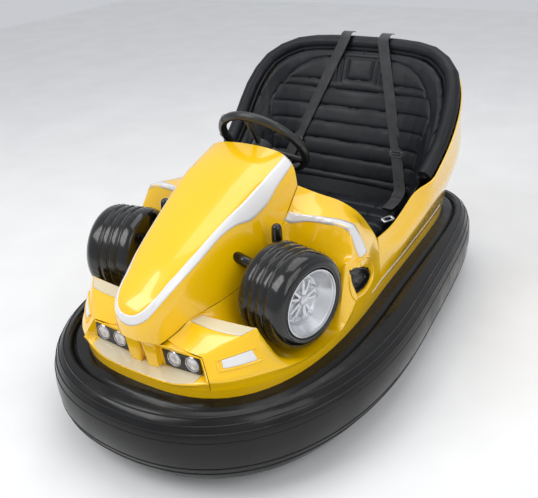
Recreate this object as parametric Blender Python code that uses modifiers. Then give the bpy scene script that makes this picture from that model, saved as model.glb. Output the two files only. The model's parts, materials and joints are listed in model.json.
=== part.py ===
"""A two-place bumper car with a racing-car style body, modelled in Blender.

Metres, +Z up. The front points along -Y, the driver's left is +X, and the floor is z = 0.
The origin is on the floor, under the middle of the bumper ring.
"""

import math

import bmesh
import bpy
from mathutils import Matrix, Vector
from mathutils.bvhtree import BVHTree

# Running gaps and overruns
SEAT_GAP = 0.0003
PANEL_GAP = 0.0008
SEAM_GAP = 0.0015
HOOD_SEAM = 0.0022
RUNNING_GAP = 0.0008
OVERRUN = 0.010
MERGE_DISTANCE = 0.00001
SHARP_DEG = 35.0
OUTLINE_STEPS = 720

# Body outline at the skirt
BODY_FRONT = 0.832
BODY_REAR = 0.845
BODY_HALF_WIDTH = 0.405
BODY_FRONT_POWER = 2.9
BODY_REAR_POWER = 7.0
BODY_FLARE_SHARE = 0.18
BODY_TAPER_SHARE = 0.13

# Bumper ring, as how far it reaches out past the body
RING_REACH_FRONT = 0.143
RING_REACH_REAR = 0.130
RING_REACH_SIDE = 0.167
RING_FRONT_POWER = 2.24
RING_REAR_POWER = 4.68
RING_FLARE_SHARE = 0.177
RING_STEPS = 60
RING_FRONT = BODY_FRONT + RING_REACH_FRONT
RING_REAR = BODY_REAR + RING_REACH_REAR
RING_HALF_WIDTH = BODY_HALF_WIDTH + RING_REACH_SIDE

# Rubber tube and its top band
BAND_WIDTH = 0.050
TUBE_BOTTOM = 0.060
TUBE_TOP = 0.278
BAND_BOTTOM = 0.250
BAND_TOP = 0.272
BAND_GROOVE_TOP = 0.260
BAND_TUCK = 0.022

# Steel under the body
HOOP_BOTTOM = 0.075
HOOP_THICKNESS = 0.008
RAIL_SPREAD_SHARE = 0.593
RAIL_WIDTH = 0.040
RAIL_BOTTOM = 0.100
PAN_BOTTOM = 0.150
PAN_THICKNESS = 0.004
CROSS_WIDTH = 0.050
PAD_BOTTOM = 0.092
PAD_WIDTH = 0.060
PAD_LENGTH = 0.090
PAD_PLACES_SHARES = (-0.20, 0.25)
RAIL_SPREAD = BODY_HALF_WIDTH * RAIL_SPREAD_SHARE

# Lower skirt
SKIRT_TOP = 0.300
SKIRT_WALL = 0.006
SKIRT_FLANGE = 0.018

# Body moulding
SHELL_WALL = 0.004
CREASE_OVERHANG = 0.006
FOOT_RISE_SHARE = 0.4
COWL_FOOT_RISE = 0.012
HOOD_HEIGHT = 0.800
HOOD_CROWN = 0.014
NOSE_REACH = 0.004
NOSE_TIP = BODY_FRONT + NOSE_REACH

# Front fascia and its lamps
FASCIA_WALL = 0.004
FASCIA_SEAM_SHARES = (0.10, 0.75)
BEZEL_DEPTH = 0.016
BEZEL_PROUD = 0.002
BEZEL_FACE_SHARE = 0.935
LAMP_RADIUS = 0.0215
LAMP_DEPTH = 0.010
LAMP_DOME = 0.006
LAMP_BACK = 0.003

# Mock front wheels
MOCK_RADIUS_SHARE = 0.1803
MOCK_WIDTH_SHARE = 0.425
MOCK_FACE_SHARE = 0.988
MOCK_ALONG_SHARE = 0.5925
MOCK_BOTTOM = 0.320
MOCK_TOE_DEG = 11.0
MOCK_RIM_SHARE = 0.70
MOCK_RIM_DEPTH = 0.050
MOCK_SPOKE_PAIRS = 5
MOCK_SPOKE_SPREAD_DEG = 13.0
MOCK_SPOKE_WIDTH = 0.009
MOCK_SPOKE_RISE = 0.016
MOCK_SPOKE_LAP = 0.005
MOCK_STAR_SHARE = 0.63
MOCK_GROOVE_DEPTH = 0.005
MOCK_GROOVE_SHARES = (0.34, 0.52, 0.70)
MOCK_GROOVE_WIDE_SHARES = (0.035, 0.017)
MOCK_DISC_THICKNESS = 0.012
MOCK_RADIUS = BODY_FRONT * MOCK_RADIUS_SHARE
MOCK_WIDTH = BODY_HALF_WIDTH * MOCK_WIDTH_SHARE
MOCK_FACE_X = BODY_HALF_WIDTH * MOCK_FACE_SHARE
MOCK_Y = -BODY_FRONT * MOCK_ALONG_SHARE
MOCK_HEIGHT = MOCK_BOTTOM + MOCK_RADIUS
MOCK_RIM_RADIUS = MOCK_RADIUS * MOCK_RIM_SHARE

# Arms of the mock wheels
ARM_RADIUS = 0.018
ARM_ROOT_WIDE_SHARE = 0.309
ARM_ROOT_ALONG_SHARE = 0.607
ARM_ROOT_HEIGHT = 0.575
ARM_TAB_WIDE_SHARE = 0.540
ARM_TAB_ALONG_SHARE = 0.463
ARM_TAB_TOP = 0.642
ARM_RISE = 0.040
ARM_LINK_SHARE = 0.8

# Side ducts
DUCT_DEPTH = 0.022
DUCT_WALL = 0.003
DUCT_GAP = 0.003

# Seat and rim roll
ROLL_RADIUS = 0.033
RIM_STEPS = 2
ROLL_FIRST_STATION = 3
COWL_EDGE_SHARES = (0.985, 0.30)
SHELL_EDGE_SHARES = (0.64, 0.79)
SEAT_HEIGHT = 0.947
SEAT_WIDE_SHARE = 1.1556
SEAT_HALF_WIDTH = BODY_HALF_WIDTH * SEAT_WIDE_SHARE
BATTERY_TOP = 0.320
CUSHION_RISE = 0.100
CUSHION_TOP = BATTERY_TOP + CUSHION_RISE
CUSHION_GAP = 0.008
CUSHION_FRONT_SHARE = 0.012
CUSHION_ROUNDING = 0.020
BATTERY_WIDE_SHARE = 0.494
BATTERY_FRONT_SHARE = 0.071
BATTERY_REAR_SHARE = 0.402
BATTERY_ROUNDING = 0.006
BELT_WIDTH = 0.045
BELT_THICKNESS = 0.003
BELT_SPREAD = 0.085
BELT_LIFT = 0.0085
BELT_HIP_WIDE_SHARE = 0.667
BELT_HIP_RISE = 0.030
BELT_ROLL_TURNS_DEG = (-30, -5, 20, 45)

# Steering
WHEEL_ALONG_SHARE = 0.1286
WHEEL_HEIGHT = 0.775
WHEEL_RIM_RADIUS = 0.152
WHEEL_GRIP_RADIUS = 0.015
WHEEL_TILT_DEG = 52.0
WHEEL_SPOKES = 3
WHEEL_SPOKE_RADIUS = 0.010
WHEEL_DISH = 0.020
HUB_RADIUS = 0.034
HUB_LOW = 0.034
HUB_HIGH = 0.004
COLUMN_RADIUS = 0.014
COLUMN_LENGTH = 0.430
DASH_ALONG_SHARE = 0.270
DASH_BOTTOM = 0.500
DASH_THICKNESS = 0.004
DASH_GAP = 0.0011
DASH_TUCK = 0.010
BEARING_RADIUS = 0.024
BEARING_LENGTH = 0.060
WHEEL_Y = -BODY_FRONT * WHEEL_ALONG_SHARE
DASH_Y = -BODY_FRONT * DASH_ALONG_SHARE

# Accelerator pedal
PEDAL_WIDTH = 0.090
PEDAL_LENGTH = 0.150
PEDAL_THICKNESS = 0.008
PEDAL_TILT_DEG = 35.0
PEDAL_X = 0.105
PEDAL_ALONG_SHARE = 0.300
PEDAL_BASE = 0.050
PEDAL_HEEL = 0.004

# Drive unit under the nose
DRIVE_ALONG_SHARE = 0.577
DRIVE_WHEEL_RADIUS = 0.090
DRIVE_WHEEL_WIDTH = 0.050
DRIVE_HUB_SHARE = 0.62
DRIVE_AXLE_RADIUS = 0.010
DRIVE_AXLE_OVERHANG = 0.004
TURNTABLE_BORE = 0.125
TURNTABLE_RADIUS = 0.150
TURNTABLE_TOP = 0.194
YOKE_THICKNESS = 0.010
CHEEK_THICKNESS = 0.008
CHEEK_GAP = 0.006
CHEEK_HALF_LENGTH = 0.035
CHEEK_DROP = 0.020
CHEEK_LAP = 0.002
MOTOR_RADIUS = 0.072
MOTOR_HEIGHT = 0.120
SHAFT_RADIUS = 0.012
SHAFT_TOP = 0.460
SHAFT_LAP = 0.010
DRIVE_Y = -BODY_FRONT * DRIVE_ALONG_SHARE

# Rear wheels
REAR_WHEEL_RADIUS = 0.070
REAR_WHEEL_WIDTH = 0.040
REAR_WHEEL_WIDE_SHARE = 0.790
REAR_WHEEL_ALONG_SHARE = 0.651
REAR_AXLE_RADIUS = 0.010
REAR_AXLE_OVERHANG = 0.012
REAR_CROSS_BEHIND = 0.160
HANGER_THICKNESS = 0.010
HANGER_HALF_LENGTH = 0.030
HANGER_DROP = 0.018
WHEEL_ROUNDING = 0.008
REAR_WHEEL_X = BODY_HALF_WIDTH * REAR_WHEEL_WIDE_SHARE
REAR_WHEEL_Y = BODY_REAR * REAR_WHEEL_ALONG_SHARE

# Hood sections: distance from the nose tip as a share of NOSE_TIP, then half-widths as shares of
# BODY_HALF_WIDTH and heights as shares of HOOD_HEIGHT.
# along, crest_wide, crest_high, stripe_wide, stripe_high, flank_wide, flank_high, base_wide, base_high
HOOD_SHARES = (
    (0.000, 0.045, 0.621, 0.060, 0.582, 0.064, 0.560, 0.060, 0.535),
    (0.014, 0.118, 0.640, 0.145, 0.602, 0.152, 0.575, 0.140, 0.530),
    (0.043, 0.160, 0.665, 0.195, 0.634, 0.200, 0.580, 0.190, 0.512),
    (0.103, 0.193, 0.700, 0.232, 0.667, 0.236, 0.600, 0.235, 0.525),
    (0.163, 0.215, 0.738, 0.262, 0.703, 0.268, 0.625, 0.270, 0.560),
    (0.282, 0.249, 0.799, 0.291, 0.768, 0.315, 0.670, 0.350, 0.575),
    (0.402, 0.284, 0.853, 0.333, 0.819, 0.365, 0.715, 0.430, 0.600),
    (0.522, 0.319, 0.909, 0.390, 0.860, 0.420, 0.755, 0.469, 0.648),
    (0.641, 0.336, 0.953, 0.415, 0.910, 0.438, 0.830, 0.469, 0.756),
    (0.773, 0.338, 0.988, 0.420, 0.950, 0.438, 0.910, 0.447, 0.868),
)

# Side body sections, from the lamps back to the lip of the wheel arch: the first is the distance
# ahead as a share of BODY_FRONT, then shares of BODY_HALF_WIDTH and HOOD_HEIGHT. overhang is how far
# the crease stands out over the skirt, as a share of CREASE_OVERHANG.
# along, wall_wide, wall_high, floor_wide, floor_high, outer_wide, outer_high, crease_high, overhang,
# foot_along
DECK_SHARES = (
    (0.931, 0.333, 0.499, 0.407, 0.497, 0.514, 0.494, 0.417, 1.0, 0.950),
    (0.883, 0.316, 0.524, 0.444, 0.523, 0.600, 0.520, 0.419, 1.0, 0.919),
    (0.841, 0.291, 0.548, 0.494, 0.548, 0.691, 0.548, 0.421, 1.0, 0.880),
    (0.793, 0.310, 0.555, 0.556, 0.562, 0.788, 0.574, 0.421, 1.0, 0.830),
    (0.775, 0.350, 0.537, 0.605, 0.515, 0.817, 0.519, 0.419, 1.0, 0.800),
    (0.727, 0.449, 0.481, 0.654, 0.431, 0.877, 0.423, 0.408, 1.0, 0.745),
    (0.649, 0.489, 0.431, 0.716, 0.388, 0.963, 0.388, 0.393, 1.0, 0.655),
    (0.553, 0.514, 0.431, 0.741, 0.388, 1.000, 0.388, 0.393, 1.0, 0.553),
    (0.457, 0.523, 0.462, 0.741, 0.400, 1.020, 0.400, 0.399, 1.5, 0.457),
    (0.423, 0.525, 0.500, 0.747, 0.430, 1.028, 0.481, 0.415, 1.8, 0.423),
    (0.391, 0.528, 0.550, 0.753, 0.481, 1.035, 0.644, 0.431, 2.2, 0.391),
    (0.349, 0.523, 0.675, 0.753, 0.637, 1.045, 0.665, 0.487, 3.0, 0.349),
)
DECK_CORNERS = (2, 3, 6)

# Side body sections behind the arch, from its lip to the cockpit edge, in the same shares. Each point
# is a width, a distance ahead and a height; overhang and foot_along are as above.
# base, wall, floor, outer, shoulder, overhang, foot_along
POD_SHARES = (
    (
        (0.463, 0.315, 0.783), (0.580, 0.315, 0.785), (0.765, 0.315, 0.778), (0.988, 0.311, 0.765),
        (1.070, 0.300, 0.637), 4.0, 0.306,
    ),
    (
        (0.459, 0.282, 0.825), (0.593, 0.258, 0.806), (0.765, 0.240, 0.785), (0.968, 0.234, 0.757),
        (1.070, 0.228, 0.630), 4.0, 0.228,
    ),
    (
        (0.452, 0.237, 0.866), (0.593, 0.186, 0.815), (0.741, 0.150, 0.785), (0.894, 0.132, 0.737),
        (0.990, 0.072, 0.609), 3.0, 0.066,
    ),
)

# Fascia sections, from the middle out, in shares of BODY_HALF_WIDTH, BODY_FRONT and HOOD_HEIGHT. The
# crease runs over the outline of the skirt, crease_wide out from the middle.
# wide, top_along, top_high, face_along, face_high, low_along, low_high, crease_wide, crease_high
FASCIA_SHARES = (
    (0.000, 0.984, 0.524, 0.937, 0.498, 0.933, 0.396, 0.000, 0.389),
    (0.074, 0.984, 0.522, 0.937, 0.496, 0.933, 0.396, 0.150, 0.389),
    (0.148, 0.972, 0.513, 0.937, 0.492, 0.932, 0.397, 0.291, 0.389),
    (0.193, 0.955, 0.501, 0.937, 0.490, 0.931, 0.399, 0.345, 0.391),
    (0.250, 0.937, 0.495, 0.936, 0.486, 0.930, 0.403, 0.420, 0.396),
    (0.370, 0.936, 0.489, 0.935, 0.482, 0.928, 0.408, 0.520, 0.406),
    (0.505, 0.934, 0.488, 0.933, 0.482, 0.926, 0.414, 0.555, 0.414),
)

# Fangs under the nose: corners as shares of BODY_HALF_WIDTH, BODY_FRONT and HOOD_HEIGHT.
# inner_wide, outer_wide, front_along, back_along, high
FANG_SHARES = (
    (0.035, 0.133, 0.953, 0.930, 0.388),
    (0.006, 0.143, 0.964, 0.930, 0.515),
)

# Lamp bezel corners and lamp centres, as shares of BODY_HALF_WIDTH and HOOD_HEIGHT: wide, high
BEZEL_SHARES = ((0.158, 0.474), (0.494, 0.483), (0.499, 0.420), (0.176, 0.407))
LAMP_SHARES = ((0.262, 0.447), (0.425, 0.451))

# Duct mouth corners: distance ahead as a share of BODY_FRONT, height as a share of HOOD_HEIGHT
DUCT_SHARES = (
    (0.376, 0.620), (0.330, 0.612), (0.285, 0.594), (0.214, 0.551), (0.180, 0.510), (0.170, 0.486),
    (0.188, 0.468), (0.230, 0.462), (0.290, 0.474), (0.348, 0.503), (0.366, 0.560),
)

# Mock tyre section: share of MOCK_RADIUS, share of MOCK_WIDTH in from the outer face
MOCK_FACE_SHARES = ((0.780, -0.023), (0.840, -0.017), (0.947, 0.035), (1.000, 0.128))
MOCK_BACK_SHARES = ((1.000, 0.884), (0.947, 0.965), (0.853, 1.000))

# Mock rim section: share of MOCK_RIM_RADIUS, share of MOCK_RIM_DEPTH in from the outer face
MOCK_RIM_SHARES = (
    (0.000, 0.90), (0.230, 0.92), (0.640, 1.00), (0.700, 0.98), (0.900, 0.22), (0.930, 0.10),
    (0.950, 0.12), (0.965, -0.02), (1.000, -0.02), (1.000, 1.30), (0.000, 1.30),
)

# Rim of the cockpit and seat, from the sill back to the middle of the seat top. wide is a share of
# SEAT_HALF_WIDTH, high of SEAT_HEIGHT, along and foot_along of BODY_REAR.
# rim_wide, rim_along, rim_high, belly_wide, belly_along, belly_high, foot_wide, foot_along
COWL_SHARES = (
    (0.860, -0.066, 0.510, 0.915, -0.066, 0.420, 0.866, -0.064),
    (0.862, 0.070, 0.515, 0.915, 0.075, 0.425, 0.858, 0.080),
    (0.880, 0.195, 0.560, 0.925, 0.205, 0.445, 0.845, 0.205),
    (0.910, 0.305, 0.625, 0.940, 0.325, 0.475, 0.830, 0.320),
    (0.935, 0.440, 0.715, 0.960, 0.460, 0.520, 0.812, 0.460),
    (0.930, 0.560, 0.832, 0.960, 0.620, 0.570, 0.790, 0.620),
    (0.845, 0.668, 0.932, 0.895, 0.780, 0.620, 0.757, 0.780),
    (0.625, 0.755, 0.989, 0.710, 0.890, 0.650, 0.660, 0.950),
    (0.310, 0.797, 1.000, 0.365, 0.930, 0.660, 0.350, 0.998),
    (0.000, 0.805, 1.000, 0.000, 0.935, 0.660, 0.000, 1.000),
)

# Inside of the seat, for the same places along the rim, in the same shares.
# wall_wide, wall_along, wall_high, bottom_wide, bottom_along, bottom_high
TUB_SHARES = (
    (0.790, -0.060, 0.430, 0.735, -0.060, 0.345),
    (0.790, 0.070, 0.435, 0.735, 0.070, 0.345),
    (0.800, 0.185, 0.470, 0.725, 0.170, 0.345),
    (0.815, 0.285, 0.510, 0.710, 0.270, 0.345),
    (0.820, 0.385, 0.570, 0.695, 0.370, 0.345),
    (0.790, 0.495, 0.650, 0.670, 0.445, 0.345),
    (0.700, 0.575, 0.690, 0.600, 0.468, 0.345),
    (0.500, 0.625, 0.700, 0.420, 0.476, 0.345),
    (0.250, 0.650, 0.705, 0.210, 0.479, 0.345),
    (0.000, 0.656, 0.705, 0.000, 0.480, 0.345),
)

# Belt ends lying on the cushion: along as a share of BODY_REAR, lift as a share of BELT_LIFT
BELT_LIE_SHARES = ((0.447, 1.0), (0.414, 0.0), (0.355, 0.0))

# Tube section: share of the way in from the outer outline to the groove, share of the tube's height
TUBE_SHARES = (
    (1.00, 0.930),
    (0.82, 1.000),
    (0.55, 0.975),
    (0.28, 0.885),
    (0.08, 0.720),
    (0.00, 0.520),
    (0.04, 0.330),
    (0.16, 0.150),
    (0.38, 0.020),
    (0.60, 0.000),
    (1.00, 0.000),
)

MATERIALS = {}


def clear_scene():
    for obj in list(bpy.data.objects):
        bpy.data.objects.remove(obj, do_unlink=True)


clear_scene()
PARTS = bpy.data.collections.new("bumper_car")
CUTTERS = bpy.data.collections.new("cutters")
bpy.context.scene.collection.children.link(PARTS)
bpy.context.scene.collection.children.link(CUTTERS)


def material(name, colour, roughness, metallic=0.0):
    """One Principled material by name."""
    if name not in MATERIALS:
        made = bpy.data.materials.new(name)
        made.use_nodes = True
        shader = made.node_tree.nodes["Principled BSDF"]
        shader.inputs["Base Color"].default_value = (*colour, 1.0)
        shader.inputs["Roughness"].default_value = roughness
        shader.inputs["Metallic"].default_value = metallic
        MATERIALS[name] = made
    return MATERIALS[name]


def yellow():
    return material("yellow_gelcoat", (1.0, 0.62, 0.0), 0.18)


def black_plastic():
    return material("black_plastic", (0.015, 0.015, 0.016), 0.25)


def black_rubber():
    return material("black_rubber", (0.02, 0.021, 0.022), 0.35)


def black_hide():
    return material("black_hide", (0.02, 0.02, 0.021), 0.45)


def silver():
    return material("silver_paint", (0.72, 0.73, 0.75), 0.28, 0.7)


def steel():
    return material("black_steel", (0.05, 0.05, 0.055), 0.5, 0.6)


def grey():
    return material("motor_grey", (0.18, 0.19, 0.20), 0.5, 0.6)


def lens():
    return material("lamp_lens", (0.75, 0.72, 0.7), 0.1)


def webbing():
    return material("black_webbing", (0.02, 0.02, 0.022), 0.7)


def link(obj, collection=PARTS):
    for old in list(obj.users_collection):
        old.objects.unlink(obj)
    collection.objects.link(obj)
    return obj


def from_bmesh(name, mesh, paint, smooth_deg=40.0):
    """A new object that holds the bmesh, smooth shaded below the angle."""
    data = bpy.data.meshes.new(name)
    bmesh.ops.recalc_face_normals(mesh, faces=mesh.faces)
    mesh.to_mesh(data)
    mesh.free()
    data.materials.append(paint)
    data.shade_smooth()
    data.set_sharp_from_angle(angle=math.radians(smooth_deg))
    obj = bpy.data.objects.new(name, data)
    PARTS.objects.link(obj)
    return obj


def grid_mesh(rows, front_face=False):
    """A bmesh of quads through rows of points, with a face across the first row if asked."""
    mesh = bmesh.new()
    verts = [[mesh.verts.new(point) for point in row] for row in rows]
    for first, second in zip(verts, verts[1:]):
        for i in range(len(first) - 1):
            mesh.faces.new((first[i], first[i + 1], second[i + 1], second[i]))
    if front_face:
        mesh.faces.new(verts[0])
    return mesh


def catmull(a, b, c, d, share):
    """A point between b and c on the smooth line through a, b, c and d."""
    square, cube = share * share, share * share * share
    return 0.5 * (
        2 * b + (c - a) * share + (2 * a - 5 * b + 4 * c - d) * square + (3 * b - a - 3 * c + d) * cube
    )


def smooth_line(points, steps, corners=()):
    """Points on a smooth line through the given ones, with sharp corners at the listed indices."""
    line = [points[0]]
    last = len(points) - 1
    for i in range(last):
        b, c = points[i], points[i + 1]
        a = 2 * b - c if i == 0 or i in corners else points[i - 1]
        d = 2 * c - b if i + 1 == last or i + 1 in corners else points[i + 2]
        line += [catmull(a, b, c, d, step / steps) for step in range(1, steps + 1)]
    return line


def refined(rows, along_steps, across_steps, along_corners=(), across_corners=()):
    """A finer grid through a coarse one."""
    across = [smooth_line(row, across_steps, across_corners) for row in rows]
    columns = [smooth_line(list(column), along_steps, along_corners) for column in zip(*across)]
    return [list(row) for row in zip(*columns)]


def panel(name, rows, paint, inside, wall=SHELL_WALL, front_face=False):
    """A moulded shell: a grid given its wall on the side of the point inside."""
    mesh = grid_mesh(rows, front_face)
    bmesh.ops.recalc_face_normals(mesh, faces=mesh.faces)
    out = sum(face.normal.dot(face.calc_center_median() - inside) for face in mesh.faces)
    if out < 0:
        bmesh.ops.reverse_faces(mesh, faces=mesh.faces)
    data = bpy.data.meshes.new(name)
    mesh.to_mesh(data)
    mesh.free()
    data.materials.append(paint)
    data.shade_smooth()
    data.set_sharp_from_angle(angle=math.radians(SHARP_DEG))
    obj = bpy.data.objects.new(name, data)
    PARTS.objects.link(obj)
    solid = obj.modifiers.new("wall", "SOLIDIFY")
    solid.thickness = wall
    solid.offset = -1.0
    return obj


def mirrored(rows):
    """Rows whose points run from the middle out, made to run from -X to +X."""
    return [[other_side(p) for p in reversed(row[1:])] + list(row) for row in rows]


def other_side(point):
    return Vector((-point.x, point.y, point.z))


def flipped(rows):
    """The same rows on the other side of the car."""
    return [[other_side(p) for p in row] for row in rows]


def box(name, low, high, paint, bevel=0.0):
    """A box between two corners, with rounded edges if bevel is given."""
    mesh = bmesh.new()
    bmesh.ops.create_cube(mesh, size=1.0)
    low, high = Vector(low), Vector(high)
    bmesh.ops.scale(mesh, vec=high - low, verts=mesh.verts)
    bmesh.ops.translate(mesh, vec=(low + high) / 2, verts=mesh.verts)
    obj = from_bmesh(name, mesh, paint)
    if bevel:
        rounded(obj, bevel)
    return obj


def rounded(obj, width, limit_deg=SHARP_DEG):
    """Rounds the edges that turn more than the limit."""
    bevel = obj.modifiers.new("rounding", "BEVEL")
    bevel.width = width
    bevel.segments = 2
    bevel.limit_method = "ANGLE"
    bevel.angle_limit = math.radians(limit_deg)
    return obj


def rod(name, start, end, radius, paint, sides=24):
    """A round bar between two points."""
    start, end = Vector(start), Vector(end)
    mesh = bmesh.new()
    bmesh.ops.create_cone(
        mesh, cap_ends=True, segments=sides, radius1=radius, radius2=radius, depth=(end - start).length
    )
    turn = (end - start).to_track_quat("Z", "Y").to_matrix().to_4x4()
    bmesh.ops.transform(mesh, matrix=Matrix.Translation((start + end) / 2) @ turn, verts=mesh.verts)
    return from_bmesh(name, mesh, paint)


def turned(name, profile, centre, axis, paint, steps=48):
    """A turned piece: a closed profile of (radius, along) spun about the axis through the centre."""
    data = bpy.data.meshes.new(name)
    profile = list(profile)
    area = sum(a[0] * b[1] - b[0] * a[1] for a, b in zip(profile, profile[1:] + profile[:1]))
    if area > 0:
        profile = profile[::-1]
    points = [(radius, 0.0, along) for radius, along in profile]
    on_axis = profile[0][0] == 0.0 and profile[-1][0] == 0.0
    edges = [(i, i + 1) for i in range(len(points) - 1)]
    if not on_axis:
        edges.append((len(points) - 1, 0))
    data.from_pydata(points, edges, [])
    data.materials.append(paint)
    obj = bpy.data.objects.new(name, data)
    PARTS.objects.link(obj)
    turn = Vector(axis).normalized().to_track_quat("Z", "Y").to_matrix().to_4x4()
    obj.matrix_world = Matrix.Translation(Vector(centre)) @ turn
    spin = obj.modifiers.new("spin", "SCREW")
    spin.steps = steps
    spin.render_steps = steps
    spin.use_merge_vertices = True
    spin.merge_threshold = MERGE_DISTANCE
    spin.use_smooth_shade = True
    return obj


def lofted(name, rings, paint):
    """A solid through closed rings of points, with a flat cap at each end."""
    mesh = bmesh.new()
    loops = [[mesh.verts.new(point) for point in ring] for ring in rings]
    for first, second in zip(loops, loops[1:]):
        for i in range(len(first)):
            j = (i + 1) % len(first)
            mesh.faces.new((first[i], first[j], second[j], second[i]))
    mesh.faces.new(loops[0])
    mesh.faces.new(loops[-1])
    return from_bmesh(name, mesh, paint)


def prism(name, outline, low, high, paint):
    """An upright prism over a plan outline of (x, y)."""
    return lofted(name, [[(x, y, z) for x, y in outline] for z in (low, high)], paint)


def as_cutter(obj):
    link(obj, CUTTERS)
    obj.hide_render = True
    obj.display_type = "WIRE"
    return obj


def boolean(obj, other, operation):
    """Adds an exact Boolean with a helper that isn't built by itself."""
    as_cutter(other)
    modifier = obj.modifiers.new(operation.lower(), "BOOLEAN")
    modifier.operation = operation
    modifier.solver = "EXACT"
    modifier.object = other
    return obj


def cut(obj, other):
    return boolean(obj, other, "DIFFERENCE")


def join(obj, other):
    return boolean(obj, other, "UNION")


def keep_inside(obj, other):
    return boolean(obj, other, "INTERSECT")


def super_outline(half_width, front, rear, front_power, rear_power, flare, taper):
    """Dense plan outline of two half superellipses, wider ahead and narrower behind."""
    points = []
    for i in range(OUTLINE_STEPS):
        angle = 2 * math.pi * i / OUTLINE_STEPS
        across, along = math.cos(angle), math.sin(angle)
        ahead = along < 0
        power = front_power if ahead else rear_power
        reach = front if ahead else rear
        share = abs(along) ** (2 / power)
        widen = 1 + flare * share if ahead else 1 - taper * share
        x = math.copysign(half_width * abs(across) ** (2 / power) * widen, across)
        y = math.copysign(reach * share, along)
        points.append(Vector((x, y)))
    return points


RING_DENSE = super_outline(
    RING_HALF_WIDTH, RING_FRONT, RING_REAR, RING_FRONT_POWER, RING_REAR_POWER,
    RING_FLARE_SHARE, RING_FLARE_SHARE,
)
BODY_DENSE = super_outline(
    BODY_HALF_WIDTH, BODY_FRONT, BODY_REAR, BODY_FRONT_POWER, BODY_REAR_POWER,
    BODY_FLARE_SHARE, BODY_TAPER_SHARE,
)


def moved_out(points, distance):
    """A closed flat outline moved out along its normals."""
    following = points[1:] + points[:1]
    area = sum(a.x * b.y - b.x * a.y for a, b in zip(points, following))
    outward = math.copysign(distance, distance * area)
    moved = []
    for i, point in enumerate(points):
        along = following[i] - points[i - 1]
        moved.append(point + Vector((along.y, -along.x)).normalized() * outward)
    return moved


def polar_angles(points, count):
    """Directions from the origin that share out the outline's length."""
    lengths = [0.0]
    for a, b in zip(points, points[1:] + points[:1]):
        lengths.append(lengths[-1] + (b - a).length)
    total = lengths[-1]
    angles = []
    j = 0
    for i in range(count):
        target = total * i / count
        while lengths[j + 1] < target:
            j += 1
        share = (target - lengths[j]) / (lengths[j + 1] - lengths[j])
        point = points[j].lerp(points[(j + 1) % len(points)], share)
        angles.append(math.atan2(point.y, point.x))
    return angles


def outline_at(points, angles):
    """Where the outline crosses each direction from the origin."""
    found = []
    table = sorted((math.atan2(p.y, p.x), i) for i, p in enumerate(points))
    for angle in angles:
        high = next((i for i, entry in enumerate(table) if entry[0] >= angle), 0)
        a, b = points[table[high - 1][1]], points[table[high][1]]
        side = Vector((-math.sin(angle), math.cos(angle)))
        da, db = a.dot(side), b.dot(side)
        share = 0.0 if da == db else da / (da - db)
        found.append(a.lerp(b, min(max(share, 0.0), 1.0)))
    return found


RING_ANGLES = polar_angles(RING_DENSE, RING_STEPS)
RING_LINE = outline_at(RING_DENSE, RING_ANGLES)
GROOVE_LINE = outline_at(moved_out(BODY_DENSE, BAND_WIDTH), RING_ANGLES)
BODY_LINE = outline_at(BODY_DENSE, RING_ANGLES)


def body_half_width(y):
    """Half-width of the skirt's outline at y."""
    reach, power = (BODY_FRONT, BODY_FRONT_POWER) if y < 0 else (BODY_REAR, BODY_REAR_POWER)
    share = min(abs(y) / reach, 1.0)
    widen = 1 + BODY_FLARE_SHARE * share if y < 0 else 1 - BODY_TAPER_SHARE * share
    return BODY_HALF_WIDTH * (1 - share**power) ** (1 / power) * widen


def body_front_at(x):
    """Where the skirt's outline lies ahead of x, as a y."""
    low, high = 0.8 * BODY_FRONT, BODY_FRONT
    for _ in range(40):
        middle = (low + high) / 2
        if body_half_width(-middle) > x:
            low = middle
        else:
            high = middle
    return -low


def plan_out(y, distance):
    """The body outline at y, moved out, as (x, y)."""
    step = min(0.002 * BODY_FRONT, (BODY_FRONT - abs(y)) / 2)
    a = Vector((body_half_width(y - step), y - step))
    b = Vector((body_half_width(y + step), y + step))
    along = (b - a).normalized()
    return Vector((body_half_width(y), y)) + Vector((along.y, -along.x)) * distance


def toward(start, end, distance):
    return start + (end - start).normalized() * distance


def lofted_ring(name, sections, paint):
    """A closed ring: sections holds one closed section of (x, y, z) points for each step."""
    mesh = bmesh.new()
    rings = [[mesh.verts.new(point) for point in section] for section in sections]
    for first, second in zip(rings, rings[1:] + rings[:1]):
        for i in range(len(first)):
            j = (i + 1) % len(first)
            mesh.faces.new((first[i], first[j], second[j], second[i]))
    return from_bmesh(name, mesh, paint)


def between(outer, inner, share, height):
    point = outer.lerp(inner, share)
    return (point.x, point.y, height)


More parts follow.
